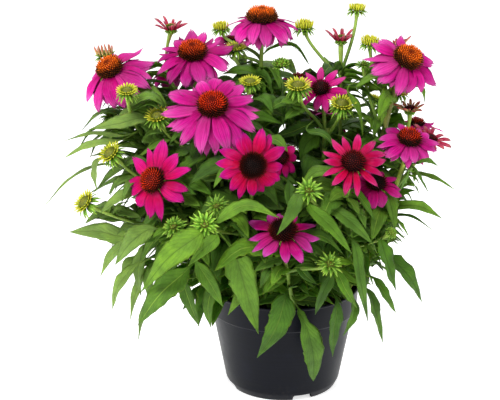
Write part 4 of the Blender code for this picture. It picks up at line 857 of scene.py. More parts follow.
class Plant:
    """The plant's pieces: for each stem its stalks, its leaves and its buds and cups."""

    def __init__(self):
        self.packed = {name: Packed(name) for name in sorted(frame["nodes"])}
        self.stalks, self.leaves, self.buds = ({stem.name: Skin() for stem in STEMS} for kind in range(3))
        self.heads = {bloom.name: bloom for bloom in BLOOMS + OPENING}
        self.main, self.lines = {}, []
        self.taken = [packed.body for name, packed in self.packed.items() if name != "soil"]

    def find_stems(self):
        for stem in STEMS:
            spot, axis, end = bloom_place(self.heads[stem.head])
            foot = Vector((stem.foot_x / 1000, stem.foot_y / 1000, SOIL_TOP - ROOT_DEPTH))
            packed, radius = self.packed["stem_" + stem.name], stem.radius / 1000
            routes = [stem_route(foot, end, axis, bend) for bend in BENDS]
            route = min(routes, key=lambda way: packed.off_tube(way, STEM_STEPS, radius * 0.85))
            self.main[stem.name] = route
            self.lines.append(Line(stem.name, route, route, STEM_STEPS, radius, (1.0, 0.25), stem.head))

    def find_branches(self):
        jobs = [(job.stem, job.at, bloom_place(self.heads[job.bloom]), job.bloom)
                for job in BLOOM_BRANCHES]
        jobs += [(bud.stem, bud.at, bud_place(bud), bud) for bud in BUDS]
        for stem_name, at, (spot, axis, end), head in jobs:
            packed, main = self.packed["stem_" + stem_name], self.main[stem_name]
            ways = []
            for shift, bend in itertools.product(SHIFTS, BENDS):
                here = at + shift
                start = on_tube(main, STEM_STEPS, here)
                tangent = (bezier(main, here + 0.01) - bezier(main, here - 0.01)).normalized()
                ways.append((branch_route(start, tangent, end, axis, bend), bezier(main, here)))
            route, start = min(ways, key=lambda way: packed.off_tube(way[0], BRANCH_STEPS, BRANCH_RADIUS))
            self.lines.append(Line(stem_name, route, (start, *route[1:]), BRANCH_STEPS, BRANCH_RADIUS,
                                   (1.1, 0.2), head))

    def nearest_spot(self, base, onward):
        """The line nearest to where a leaf's blade starts, by the CAD's rule."""
        found = []
        for line in self.lines:
            for k in range(2, 18):
                spot = on_tube(line.route, line.steps, k / 20)
                if spot.z > SOIL_TOP + LOWEST_LEAF_HEIGHT:
                    turn = 1.0 - (base - spot).normalized().dot(onward)
                    fall = max(0.0, spot.z - base.z)
                    cost = (spot - base).length + FALL_COST * fall + TURN_COST * turn * turn
                    found.append((cost, line, k / 20))
        cost, line, t = min(found, key=lambda entry: entry[0])
        return line, t

    def grow_stalks(self):
        steps = [k / FINE_STEPS for k in range(FINE_STEPS + 1)]
        for line in self.lines:
            draw = random.Random(f"stalk {line.stem} {line.head}")
            spots = [bezier(line.fine, t) for t in steps]
            swell, sides = (1.10, 12) if line.is_stem else (1.30, 8)
            radii = [line.radius_at(t) * swell * (1.0 + 0.7 * ease(0.84, 1.0, t)) for t in steps]
            greens = {"10": BRIGHT_STALK, "11": THICK_STALK}.get(line.head, STALK_GREENS)
            self.stalks[line.stem].tube(spots, radii, sides, greens, draw.random())
            self.grow_hairs(self.stalks[line.stem], line, draw)

    def grow_hairs(self, skin, line, draw):
        """Short stiff hairs that stand out of a stalk."""
        for k in range(int(HAIRS_PER_METRE * (line.fine[3] - line.fine[0]).length)):
            t = draw.uniform(0.12, 0.97)
            along = (bezier(line.fine, t + 0.01) - bezier(line.fine, t - 0.01)).normalized()
            side = along.orthogonal().normalized()
            angle = draw.uniform(0.0, math.tau)
            out = side * math.cos(angle) + along.cross(side) * math.sin(angle)
            root = bezier(line.fine, t) + out * line.radius_at(t) * 0.8
            tip = root + (out + along * draw.uniform(-0.2, 0.5)) * draw.uniform(0.0010, 0.0022)
            skin.tube((root, tip), (0.00016, 0.0), 3, (HAIR, HAIR), 1.0)

    def grow_seen_leaves(self):
        for k, one in enumerate(SEEN_LEAVES + MORE_LEAVES):
            in_cad = k < len(SEEN_LEAVES)
            base, crest, tip = [seen(px, py, y / 1000) for px, py, y in one[:3]]
            line, t = self.nearest_spot(base, (crest - base).normalized())
            toward, packed = (EYE - crest).normalized(), self.packed["stem_" + line.stem]
            step = min(NEARER, key=lambda step: packed.off_corner(tip + toward * step))
            shift = toward * (step if in_cad else 0.0)
            rib = [bezier(line.fine, t), base + shift, crest + shift, tip + shift]
            draw = random.Random(f"seen leaf {k}")
            form = WINGED_FORM if one.crest == WINGED_LEAF else SEEN_FORM
            wider = LEAF_WIDER if FAR_LEFT_PX < one.crest[0] < FAR_RIGHT_PX else FAR_LEAF_WIDER
            leaf(self.leaves[line.stem], rib, one.width / 1000 * wider, one.roll, SEEN_CUT, form,
                 leaf_tint(draw, crest, one.tone, 0.70), draw)
            if not in_cad:
                self.taken.append(leaf_tree(rib, one.width / 1000))

    def grow_rule_leaves(self):
        for stem in STEMS:
            turn = random.Random("leaves " + stem.name).uniform(0, 360)
            main, packed = self.main[stem.name], self.packed["stem_" + stem.name]
            for k in range(stem.leaves):
                share = k / (stem.leaves - 1)
                height = LOWEST_LEAF + (HIGHEST_LEAF - LOWEST_LEAF) * share
                start = on_tube(main, STEM_STEPS, height)
                length = LEAF_LENGTH[0] + (LEAF_LENGTH[1] - LEAF_LENGTH[0]) * share
                tried = []
                for scale, lift, swing in itertools.product(SCALES, LIFTS, SWINGS):
                    azimuth = math.radians(turn + GOLDEN_ANGLE * k + swing)
                    tried.append(rule_leaf(stem, k, start, length, azimuth, lift, scale))
                rib, width = min(tried, key=lambda one: packed.off_corner(one[0][3]))
                if packed.off_corner(rib[3]) < SAME:
                    draw = random.Random(f"fine leaf {stem.name} {k}")
                    rib[0] = bezier(main, height)
                    leaf(self.leaves[stem.name], rib, width, 0.0, RULE_CUT, PLAIN_FORM,
                         leaf_tint(draw, rib[2]), draw)

    def grow_inner_leaves(self):
        """Smaller leaves that fill the crown, clear of the blooms and of each other."""
        for number, step in enumerate(FILLING):
            for line in (line for line in self.lines if line.is_stem == step.on_stems):
                draw = random.Random(f"inner {number} {line.stem} {line.head}")
                for k in range(int(step.tries * (BACK_TRIES if line.fine[3].y > BACK else 1.0))):
                    start = bezier(line.fine, draw.uniform(*step.at))
                    azimuth, length = draw.uniform(0.0, math.tau), draw.uniform(*step.length)
                    slopes = [draw.uniform(*span) for span in step.slopes]
                    rib = leaf_rib(start, around(azimuth), slopes, length)
                    width = length * draw.uniform(*step.shape)
                    if self.is_free(rib, width):
                        self.taken.append(leaf_tree(rib, width))
                        leaf(self.leaves[line.stem], rib, width, 0.0, INNER_CUT, INNER_FORM,
                             leaf_tint(draw, rib[2]), draw)

    def mark_stalks(self):
        """Notes where the upper parts of the stalks are in the picture, and how deep."""
        self.marks, self.depths = KDTree(len(self.lines) * STALK_MARKS), []
        for line in self.lines:
            for k in range(STALK_MARKS):
                spot = bezier(line.fine, 0.45 + 0.53 * k / STALK_MARKS)
                self.marks.insert((*in_picture(spot), 0.0), len(self.depths))
                self.depths.append(spot.y)
        self.marks.balance()

    def hides_a_stalk(self, spot):
        found = self.marks.find_range((*in_picture(spot), 0.0), STALK_CLEAR_PX)
        return any(spot.y < self.depths[number] - BEFORE for point, number, far in found)

    def is_free(self, rib, width):
        """True if a leaf there is in the crown, hides nothing and crosses nothing."""
        shown = (rib[2], rib[3], (rib[2] + rib[3]) / 2)
        if max(rib[2].z, rib[3].z) > CROWN_TOP or not in_crown(rib[3]):
            return False
        if any(hides_a_bloom(spot) for spot in shown):
            return False
        across = leaf_across(rib, 0.0, INNER_FORM[-1]) * width * 0.3
        if any(self.hides_a_stalk(spot + across * side) for spot in shown for side in (-1, 0, 1)):
            return False
        centre, reach, tree = leaf_tree(rib, width)
        return not any((centre - other[0]).length < reach + other[1] and tree.overlap(other[2])
                       for other in self.taken)


    def grow_cups(self):
        """The cups of green bracts under the blooms."""
        top = -HUB_THICKNESS - GAP
        for line in self.lines:
            if isinstance(line.head, Bud):
                continue
            stand, r = bloom_stand(self.heads[line.head])
            draw, skin = random.Random("cup " + line.head), self.buds[line.stem]
            profile = [(r * share, top - r * depth) for share, depth in CUP_PROFILE]
            profile += [(r * 0.80, top - 0.0006), (r * 0.80, top), (0.0, top + 0.0001)]
            skin.dome(stand, profile, 20, BRACT_GREENS)
            count = 12 if r < 0.010 else 16
            for ring, (share, slopes, length) in enumerate(CUP_RINGS):
                for k in range(count):
                    angle = math.tau * (k + 0.5 * ring) / count + draw.uniform(-0.08, 0.08)
                    root = (r * share, top - r * (0.06 + 0.10 * ring))
                    whorl_blade(skin, stand, BRACT, angle, root, r * length * draw.uniform(0.85, 1.15),
                                CUP_BRACT_WIDTH, slopes, BRACT_GREENS, draw)

    def grow_buds(self):
        for line in self.lines:
            if isinstance(line.head, Bud):
                spot, axis, end = bud_place(line.head)
                grow_bud(self.buds[line.stem], line.head, standing(axis, spot))

    def pieces(self, looks):
        for stem in STEMS:
            node = "stem_" + stem.name
            self.stalks[stem.name].piece(node + "_stalks", looks["stalk"], "leaf", node)
            self.leaves[stem.name].piece(node + "_leaves", looks["leaf"], "leaf", node)
            self.buds[stem.name].piece(node + "_buds", looks["bract"], "leaf", node)


HAIRS_PER_METRE = 700
# Steps of filling the crown: tries for each stem or branch, where on it, length and its share
# that is the width, and the slopes of the stalk, the blade's first half and its second
Filling = namedtuple("Filling", "tries on_stems at length shape slopes")
FILLING = (
    Filling(170, True, (0.12, 0.80), (0.070, 0.115), (0.25, 0.33), ((20, 60), (-15, 30), (-60, -10))),
    Filling(340, True, (0.25, 0.92), (0.045, 0.080), (0.30, 0.40), ((10, 60), (-20, 30), (-60, -5))),
    Filling(100, True, (0.08, 0.30), (0.060, 0.100), (0.25, 0.34), ((20, 60), (-15, 20), (-65, -20))),
    Filling(200, False, (0.05, 0.80), (0.034, 0.070), (0.30, 0.40), ((10, 60), (-20, 30), (-60, -5))),
    Filling(420, True, (0.15, 0.94), (0.028, 0.052), (0.32, 0.46), ((0, 60), (-20, 30), (-60, 0))),
    Filling(110, False, (0.20, 0.88), (0.020, 0.040), (0.32, 0.46), ((0, 60), (-20, 30), (-60, 0))),
)
# Where the back begins, and how many times more tries it has; how high fillers may reach; how
# much nearer something is that stands before a head; and the marks on each stalk, with how far
# in the picture a filler before it stays from them
BACK, BACK_TRIES, CROWN_TOP, BEFORE = 0.03, 2.2, 0.392, 0.004
STALK_MARKS, STALK_CLEAR_PX = 14, 3.2
# The underside of a cup, as radius and depth, and its rings of bracts, as distance from the axis,
# slopes and length. All but the slopes are shares of the cone's radius
CUP_PROFILE = ((0.0, 0.26), (0.22, 0.25), (0.55, 0.15))
CUP_BRACT_WIDTH = 0.0026
CUP_RINGS = ((0.70, (10, -40), 0.50), (0.55, (-10, -70), 0.50), (0.36, (-25, -60), 0.42))


def leaf_tint(draw, spot, tone=None, pale=0.35):
    """A leaf's green: by its tone, or else by chance and lighter at the front, at the right and high
    up, which is painted light. At the far left it turns paler, by up to the share pale."""
    chance = draw.uniform(0.0, 0.75)
    # shade: painted light that moves a leaf to lighter greens at the front, at the right and high up
    shade = 0.24 * ease(-0.06, -0.16, spot.y) + 0.25 * ease(0.26, 0.38, spot.z)
    shade += 0.38 * ease(0.04, 0.12, spot.x)
    tint = along_stops(LEAF_GREENS, chance + shade if tone is None else tone)
    return tint.lerp(PALE_GREEN, pale * ease(-0.12, -0.20, spot.x) + draw.uniform(0.0, 0.15))


def grow_bud(skin, bud, stand):
    """A bud: a core with bracts round it, and where it opens a ring of short rays."""
    light, swell = BUD_LOOKS.get((bud.px, bud.py), (1.0, BUD_SWELL))
    r = bud.size / 1000 * swell
    draw = random.Random(f"bud {bud.px} {bud.py}")
    greens = [tint * light * draw.uniform(0.92, 1.08) for tint in BRACT_GREENS]
    wide, tall = (r * share for share in ((0.42, 0.34) if bud.kind == "star" else (0.66, 0.50)))
    profile = [(0.0, -r * 0.22), (r * 0.30, -r * 0.20)]
    profile += [(wide * math.cos(math.radians(15.0 * k)), tall * math.sin(math.radians(15.0 * k)))
                for k in range(6)]
    skin.dome(stand, [*profile, (0.0, tall)], 20, BUD_CORE)
    grow_bumps(skin, stand, wide, tall, r * 0.10, int(60 + r * 4000), draw)
    rings, rays = BUD_FORMS[bud.kind]
    for share, height, slopes, length, count, width in rings:
        for k in range(count):
            angle = math.tau * (k + draw.uniform(-0.30, 0.30)) / count + share * 3.0
            whorl_blade(skin, stand, BRACT, angle, (r * share, r * height),
                        r * length * draw.uniform(0.72, 1.14), r * width * draw.uniform(0.85, 1.25),
                        slopes, greens, draw)
    for share, height, slopes, length, count, width in rays:
        for k in range(count):
            angle = math.tau * (k + draw.uniform(-0.15, 0.15)) / count
            whorl_blade(skin, stand, BRACT, angle, (r * share, r * height),
                        r * length * draw.uniform(0.8, 1.1), r * width, slopes,
                        PETALS["cream"] if bud.kind == "opening" else RING_RAYS, draw)


# How much larger a bud is than the CAD's. For some, by their places in the picture: how bright
# their bracts are, and how much larger those buds are
BUD_SWELL = 1.10
BUD_LOOKS = {(205, 225): (1.45, 1.15), (309, 191): (1.10, 1.15), (330, 264): (0.95, 1.10),
             (217, 206): (0.80, 1.05), (281, 65): (1.40, 1.50), (221, 28): (1.15, 1.50),
             (236, 49): (1.10, 1.40), (370, 43): (1.10, 1.20), (110, 116): (1.10, 1.30)}
# The rings of bracts and of rays of each kind: distance from the axis and height at the root,
# slopes, length, count and width, all but the slopes and the count as shares of the bud's size
BUD_FORMS = {
    "star": (
        ((0.30, -0.16, (-4, -40), 1.08, 13, 0.24), (0.34, -0.02, (20, -6), 1.04, 14, 0.22),
         (0.30, 0.14, (48, 22), 0.78, 11, 0.19), (0.16, 0.26, (76, 58), 0.46, 8, 0.17)),
        (),
    ),
    "ring": (
        ((0.36, -0.20, (-14, -70), 1.16, 14, 0.24), (0.46, -0.08, (4, -48), 1.06, 15, 0.22)),
        ((0.68, 0.02, (46, 14), 0.76, 20, 0.24), (0.62, 0.10, (64, 34), 0.66, 19, 0.19)),
    ),
    "knob": (
        ((0.44, -0.16, (0, -30), 0.56, 12, 0.24), (0.62, 0.02, (20, 60), 0.46, 16, 0.22),
         (0.58, 0.16, (44, 84), 0.46, 15, 0.20), (0.44, 0.30, (62, 92), 0.42, 12, 0.20),
         (0.22, 0.40, (76, 92), 0.36, 8, 0.18)),
        (),
    ),
    "crown": (
        ((0.40, -0.34, (-6, -62), 0.90, 13, 0.26), (0.60, -0.20, (14, -34), 0.72, 14, 0.26)),
        ((0.80, -0.10, (66, 92), 0.80, 19, 0.24), (0.58, 0.04, (76, 96), 0.78, 16, 0.22),
         (0.34, 0.16, (82, 92), 0.68, 11, 0.22)),
    ),
    "opening": (
        ((0.50, -0.30, (10, -40), 1.00, 13, 0.26), (0.62, -0.12, (40, 20), 0.80, 14, 0.26)),
        ((0.86, 0.00, (78, 84), 1.10, 14, 0.26), (0.70, 0.06, (84, 94), 1.00, 12, 0.24)),
    ),
}


def grow_bumps(skin, stand, wide, tall, size, count, draw):
    """Small scales over a dome, by the golden angle."""
    for k in range(count):
        out = on_ball(math.acos(1.0 - (k + 0.5) / count * 0.94), math.radians(GOLDEN_ANGLE) * k)
        root = Vector((out.x * wide, out.y * wide, out.z * tall)) * 0.96
        tip = root + (out + UP * 0.5).normalized() * size * draw.uniform(0.8, 1.2)
        spots = (stand @ root, stand @ root.lerp(tip, 0.6), stand @ tip)
        skin.tube(spots, (size * 0.42, size * 0.34, 0.0), 4, BUD_CORE, draw.random())


# Blooms

def upward(stand, angle):
    """How far a petal at that angle points up, from -1 to 1."""
    return (stand.to_3x3() @ around(angle)).z


def grow_petals(bloom, looks):
    """A bloom's petals, with the CAD's lengths and droops. Every other one lies a little higher,
    and most kinds are a little wider than the CAD's, so that neighbours overlap. Large mauve
    blooms have a second row below."""
    skin = Skin()
    stand, r = bloom_stand(bloom)
    draw, fine = random.Random("petals " + bloom.name), random.Random("fine petals " + bloom.name)
    tints, hang = PETALS[bloom.petal], HANG.get(bloom.name, USUAL_HANG)
    reach = bloom.reach / 1000 * LONGER.get(bloom.name, 1.0)
    width, root = bloom.width / 1000, r * 0.72
    for k in range(bloom.petals):
        grow, droop = draw.uniform(0.88, 1.06), draw.uniform(-8, 8)
        angle = math.tau / bloom.petals * (k + fine.uniform(-0.22, 0.22))
        droop += RAISED.get(bloom.name, 0.0) + hang * upward(stand, angle)
        level = -HUB_THICKNESS / 2 + (PETAL_STEP if k % 2 else -PETAL_STEP)
        shade = fine.uniform(-0.22, 0.22)
        own = [tint.lerp(tints[0] if shade < 0.0 else tints[-1], abs(shade)) for tint in tints]
        whorl_blade(skin, stand, PETAL, angle, (root, level),
                    reach * grow * fine.uniform(0.84, 1.05) + r * 0.33,
                    width * fine.uniform(0.98, 1.36) * WIDER.get(bloom.petal, 1.0),
                    (bloom.start + fine.uniform(-5, 7), bloom.end + droop + fine.uniform(-12, 10)),
                    own, fine)
    for k in range(bloom.petals if bloom.petal == "mauve" and bloom.cone > TWO_ROWS_CONE else 0):
        angle = math.tau / bloom.petals * (k + 0.5 + fine.uniform(-0.25, 0.25))
        own = [tint.lerp(tints[0], fine.uniform(0.05, 0.35)) for tint in tints]
        whorl_blade(skin, stand, PETAL, angle, (root, SECOND_ROW),
                    reach * fine.uniform(0.72, 0.96) + r * 0.33, width * fine.uniform(0.8, 1.1),
                    (bloom.start - 5, bloom.end - 12 + hang * upward(stand, angle)
                     + fine.uniform(-10, 8)), own, fine)
    hub = ((0.0, -0.0016), (root, -0.0014), (r * 0.76, -0.0009), (root, -0.0004), (0.0, -0.0003))
    skin.dome(stand, hub, 24, (tints[0], tints[0]))
    skin.piece(f"petals_{bloom.name}_fine", looks["petal"], "petal", "petals_" + bloom.name)


# How much wider some kinds of petals are than the CAD's, and how much longer those of some
# blooms are. How many degrees less a petal that points straight up droops than a level one, and
# how many degrees less all the petals of some blooms droop
WIDER = {"mauve": 1.16, "quilled": 0.86, "magenta": 1.06, "scarlet": 0.88, "bright": 0.92}
LONGER = {"02": 0.90, "03": 0.86, "10": 0.86, "12": 1.10}
USUAL_HANG, HANG = 32.0, {"01": 48.0, "02": 84.0, "03": 150.0, "11": 44.0}
RAISED = {"03": 14.0, "02": 5.0}
# How much higher and lower than the middle neighbours lie, the radius in mm of the cone above
# which a mauve bloom has two rows of petals, and the height of the second
PETAL_STEP, TWO_ROWS_CONE, SECOND_ROW = 0.0006, 13, -0.0026


def grow_rays(bloom, looks):
    """The rolled rays of a bloom that is opening, and the disc that they stand round."""
    skin = Skin()
    stand, r = bloom_stand(bloom)
    draw, fine = random.Random("petals " + bloom.name), random.Random("fine rays " + bloom.name)
    reach, width, tints = bloom.reach / 1000, bloom.width / 1000, PETALS[bloom.petal]
    for k in range(bloom.petals):
        grow, lift = draw.uniform(0.75, 1.1), draw.uniform(-10, 10)
        angle = math.tau * k / bloom.petals
        whorl_blade(skin, stand, QUILL, angle, (r * 0.95, -HUB_THICKNESS / 2),
                    reach * grow * fine.uniform(0.95, 1.30), width * fine.uniform(1.1, 1.5),
                    (bloom.start + lift, bloom.end + lift), tints, fine)
        whorl_blade(skin, stand, QUILL, angle + math.pi / bloom.petals, (r * 0.85, 0.0),
                    reach * fine.uniform(0.35, 0.7), width * 0.9,
                    (bloom.start + 14, bloom.end + 22), tints, fine)
    hub = ((0.0, -0.0017), (r * 0.96, -0.0015), (r, -0.0009), (r * 0.96, -0.0004), (0.0, -0.0003))
    skin.dome(stand, hub, 20, (BRACT_GREENS[1], BRACT_GREENS[1]))
    skin.piece(f"rays_{bloom.name}_fine", looks["petal"], "petal", "rays_" + bloom.name)


def grow_cone(bloom, looks):
    """A cone: a dark dome with stiff pointed bristles in spirals, which stand up toward its
    top and are short and dark at its very middle."""
    skin, draw = Skin(), random.Random("cone " + bloom.name)
    stand, r = bloom_stand(bloom)
    top, low, middle, core = DISCS[bloom.disc]
    wide, tall = r * 0.88, r * CONE_TALL
    profile = [(0.0, 0.0003), (wide * 0.96, 0.0003)]
    profile += [(wide * math.cos(math.radians(15 * k)), 0.0004 + tall * math.sin(math.radians(15 * k)))
                for k in range(6)]
    profile.append((0.0, 0.0004 + tall * 0.92))
    skin.dome(stand, profile, 28, (core, core, middle.lerp(core, 0.7)))
    count = max(int(BRISTLES * bloom.cone ** 2), FEWEST_BRISTLES)
    for k in range(count):
        share = (k + 0.5) / count
        polar = math.acos(1.0 - share * 0.985)
        out = on_ball(polar, math.radians(GOLDEN_ANGLE) * k)
        root = Vector((out.x * wide, out.y * wide, out.z * tall))
        rise = (out + UP * 0.55 * math.sin(polar)).normalized()
        length = r * (0.12 + 0.24 * ease(0.03, 0.30, share)) * draw.uniform(0.78, 1.24)
        side = ease(0.24, 0.62, share + draw.uniform(-0.12, 0.12))
        tip_tint = top.lerp(core, 0.85 * ease(0.055, 0.01, share)) * draw.uniform(0.72, 1.22)
        thick = r * 0.050 * draw.uniform(0.85, 1.1)
        spots = [stand @ (root + rise * length * part) for part in (-0.12, 0.34, 0.70, 1.0)]
        skin.tube(spots, (thick, thick, thick * 0.76, 0.0), 4,
                  (core, middle.lerp(core, side), tip_tint.lerp(low, side),
                   tip_tint.lerp(low, 0.60 * side)), draw.random())
    node = "cone_" + bloom.name if "cone_" + bloom.name in frame["nodes"] else "rays_" + bloom.name
    skin.piece(f"disc_{bloom.name}_fine", looks["cone"], "cone", node)


# Bristles for each square mm of a cone's radius squared, the fewest of them, and a cone's height
# as a share of its radius
BRISTLES, FEWEST_BRISTLES, CONE_TALL = 1.05, 120, 0.84


# Pot and soil

def rounded(profile, radius, steps=4):
    """A profile whose inner corners are arcs of about that radius."""
    made = [profile[0]]
    for before, corner, after in zip(profile, profile[1:], profile[2:]):
        corner = Vector(corner)
        back, on = Vector(before) - corner, Vector(after) - corner
        reach = min(radius, back.length * 0.45, on.length * 0.45)
        start, end = corner + back.normalized() * reach, corner + on.normalized() * reach
        for k in range(steps + 1):
            t = k / steps
            made.append(tuple(start * (1 - t) ** 2 + corner * (2 * t * (1 - t)) + end * t ** 2))
    made.append(profile[-1])
    return made


def notch_cutter(angle):
    """A block with rounded edges that cuts a drainage notch at that angle."""
    turn = Matrix.Rotation(angle, 4, "Z") @ Matrix.Translation((BASE_DIAMETER / 2, 0.0, 0.0))
    work = bmesh.new()
    bmesh.ops.create_cube(work, size=1.0)
    size = (NOTCH_DEPTH, NOTCH_WIDTH, 2 * NOTCH_HEIGHT + NOTCH_TALLER)
    bmesh.ops.scale(work, vec=size, verts=work.verts)
    bmesh.ops.bevel(work, geom=work.edges, offset=NOTCH_CORNER, segments=3, affect="EDGES")
    bmesh.ops.transform(work, matrix=turn, verts=work.verts)
    cutter = bpy.data.meshes.new("notch")
    work.to_mesh(cutter)
    work.free()
    return bpy.data.objects.new("notch", cutter)


def make_pot(looks):
    """The pot: a flat middle, a raised channel round it, a foot ring with notches, a band."""
    rim, foot = RIM_DIAMETER / 2, BASE_DIAMETER / 2
    band = POT_HEIGHT - BAND_HEIGHT
    profile = (
        (0.0, FLOOR),
        (MIDDLE_RADIUS - 0.0015, FLOOR),
        (CHANNEL_RADIUS - 0.0015, FOOT_HEIGHT + WALL),
        (foot - 0.0052, FOOT_HEIGHT + WALL),
        (SHOULDER_RADIUS - WALL, band - 0.001),
        (rim - WALL - 0.0004, POT_HEIGHT),
        (rim - 0.0002, POT_HEIGHT),
        (rim, POT_HEIGHT - 0.0024),
        (rim - 0.0010, POT_HEIGHT - 0.0034),
        (rim - 0.0034, band),
        (SHOULDER_RADIUS, band - 0.0012),
        (foot + 0.0016, 0.0090),
        (foot - 0.0030, 0.0),
        (foot - 0.0058, 0.0),
        (foot - 0.0064, FOOT_HEIGHT),
        (CHANNEL_RADIUS, FOOT_HEIGHT),
        (MIDDLE_RADIUS, 0.0),
        (0.0, 0.0),
    )
    skin = Skin()
    skin.dome(Matrix.Identity(4), rounded(profile, EDGE_RADIUS), POT_SIDES, (POT_BLACK, POT_BLACK))
    mesh = bpy.data.meshes.new("pot_fine")
    mesh.from_pydata(skin.points, [], [(face[0], *reversed(face[1:])) for face in skin.faces])
    pot = add_object("pot_work", mesh)
    cutters = bpy.data.collections.new("notch cutters")
    bpy.context.scene.collection.children.link(cutters)
    for k in range(NOTCHES):
        cutters.objects.link(notch_cutter(math.radians(FIRST_NOTCH + 360.0 / NOTCHES * k)))
    cut = pot.modifiers.new("notches", "BOOLEAN")
    cut.operand_type = "COLLECTION"
    cut.collection = cutters
    graph = bpy.context.evaluated_depsgraph_get()
    final = bpy.data.meshes.new_from_object(pot.evaluated_get(graph))
    for spare in [pot, *cutters.objects]:
        bpy.data.objects.remove(spare)
    bpy.data.collections.remove(cutters)
    final.shade_smooth()
    final.set_sharp_from_angle(angle=math.radians(40))
    placed("pot_fine", final, looks["pot"], "pot")


def make_soil(looks):
    """The soil: a lumpy top on a plug that fills the pot, with chips of bark and crumbs."""
    band = POT_HEIGHT - BAND_HEIGHT
    low, low_radius = FOOT_HEIGHT + WALL + GAP, BASE_DIAMETER / 2 - 0.0052
    edge = SHOULDER_RADIUS - WALL - 0.0008
    skin, draw = Skin(), random.Random("chips")
    profile = [(0.0, low), (low_radius - 0.0008, low), (edge, band - 0.0020), (edge, SOIL_TOP - 0.0035)]
    profile += [(edge * (1.0 - k / SOIL_RINGS) ** 0.9, SOIL_TOP) for k in range(1, SOIL_RINGS)]
    profile.append((0.0, SOIL_TOP))
    skin.dome(Matrix.Identity(4), profile, SOIL_SIDES, (SOIL_DARK, SOIL_DARK))
    for point in skin.points:
        if point.z >= SOIL_TOP - 0.0001:
            point.z += noise.noise(point * 90.0) * 0.0016 + noise.noise(point * 320.0) * 0.0011
    for k in range(SOIL_CHIPS):
        angle, far = draw.uniform(0.0, math.tau), edge * math.sqrt(draw.uniform(0.0, 0.93))
        add_chip(skin, around(angle, far, SOIL_TOP + draw.uniform(-0.0004, 0.0010)), draw)
    skin.piece("soil_fine", looks["soil"], "soil", "soil")


def add_chip(skin, spot, draw):
    """A chip of bark or a crumb: a box with its corners moved."""
    size = draw.uniform(0.0012, 0.0042)
    half = Vector((size, size * draw.uniform(0.3, 0.7), size * draw.uniform(0.15, 0.35)))
    turn = Matrix.Rotation(draw.uniform(0.0, math.tau), 3, "Z")
    turn = turn @ Matrix.Rotation(draw.uniform(-0.4, 0.4), 3, "X")
    tint, tone = SOIL_DARK.lerp(BARK, draw.random()), draw.random()
    corners = []
    for x, y, z in itertools.product((-1, 1), repeat=3):
        corner = Vector((x * half.x, y * half.y, z * half.z)) * draw.uniform(0.7, 1.0)
        corners.append(skin.add(spot + turn @ corner, (0.0, 0.0, tone), tint))
    skin.faces += [tuple(corners[i] for i in face) for face in BOX_FACES]


POT_SIDES, SOIL_SIDES, SOIL_RINGS, SOIL_CHIPS = 112, 72, 26, 420
# The rounding of the pot's edges; how far a notch's cutter reaches in and out together, how much
# taller it is than the CAD's, above and below together, and the rounding of its corners
EDGE_RADIUS, NOTCH_DEPTH, NOTCH_TALLER, NOTCH_CORNER = 0.0016, 0.016, 0.0020, 0.0012
BOX_FACES = ((0, 1, 3, 2), (4, 6, 7, 5), (0, 4, 5, 1), (2, 3, 7, 6), (0, 2, 6, 4), (1, 5, 7, 3))
SOIL_DARK, BARK = rgb(38, 30, 24), rgb(104, 78, 54)


# Materials

class Field:
    """A number, colour or place that varies over a surface: a node's output. Its sums, products
    and the like are nodes too."""

    def __init__(self, look, socket):
        self.look, self.socket = look, socket

    def math(self, operation, *values):
        return self.look.node("Math", enumerate((self, *values)), operation=operation)

    def __add__(self, other):
        return self.math("ADD", other)

    def __sub__(self, other):
        return self.math("SUBTRACT", other)

    def __mul__(self, other):
        return self.math("MULTIPLY", other)

    def __abs__(self):
        return self.math("ABSOLUTE")

    def wave(self):
        return abs(self.math("SINE"))

    def span(self, low, high, out_low=0.0, out_high=1.0):
        """This number moved from one span to another, eased at both ends."""
        values = enumerate((self, low, high, out_low, out_high))
        return self.look.node("MapRange", values, interpolation_type="SMOOTHSTEP")

    def lighter(self, amount):
        """This colour times a number."""
        return self.look.node("VectorMath", ((0, self), ("Scale", amount)), operation="SCALE")


class Look:
    """A material whose nodes are made by short calls. A value is a number, a colour or a Field."""

    def __init__(self, name, **constants):
        self.material = bpy.data.materials.new(name)
        self.material.use_nodes = True
        self.tree = self.material.node_tree
        self.shader = self.tree.nodes["Principled BSDF"]
        for socket, value in constants.items():
            self.shader.inputs[socket.replace("_", " ")].default_value = value

    def put(self, socket, value):
        if isinstance(value, Field):
            self.tree.links.new(value.socket, socket)
        elif socket.type == "RGBA":
            socket.default_value = (*value, 1.0)
        else:
            socket.default_value = value

    def node(self, kind, values=(), output=0, **settings):
        """An output of a new node, whose settings come first and then the values of its inputs."""
        node = self.tree.nodes.new("ShaderNode" + kind)
        for name, value in settings.items():
            setattr(node, name, value)
        for place, value in values:
            self.put(node.inputs[place], value)
        return Field(self, node.outputs[output])

    def read(self, name, output="Vector"):
        return self.node("Attribute", output=output, attribute_name=name)

    def parts(self, vector):
        first = self.node("SeparateXYZ", ((0, vector),))
        return [Field(self, socket) for socket in first.socket.node.outputs]

    def vector(self, *values):
        return self.node("CombineXYZ", enumerate(values))

    def where(self):
        return self.node("TexCoord", output="Object")

    def noise(self, vector, scale, detail=3.0, roughness=0.55):
        return self.node("TexNoise", (("Vector", vector), ("Scale", scale), ("Detail", detail),
                                      ("Roughness", roughness)))

    def cells(self, vector, scale):
        """The distance to the edge of the nearest cell."""
        return self.node("TexVoronoi", (("Vector", vector), ("Scale", scale)),
                         feature="DISTANCE_TO_EDGE")

    def mix(self, share, a, b, blend="MIX"):
        return self.node("Mix", ((0, share), (6, a), (7, b)), 2, data_type="RGBA", blend_type=blend)

    def colour(self, value):
        self.put(self.shader.inputs["Base Color"], value)

    def rough(self, value):
        self.put(self.shader.inputs["Roughness"], value)

    def bump(self, height, strength, distance):
        values = (("Strength", strength), ("Distance", distance), ("Height", height))
        self.put(self.shader.inputs["Normal"], self.node("Bump", values))


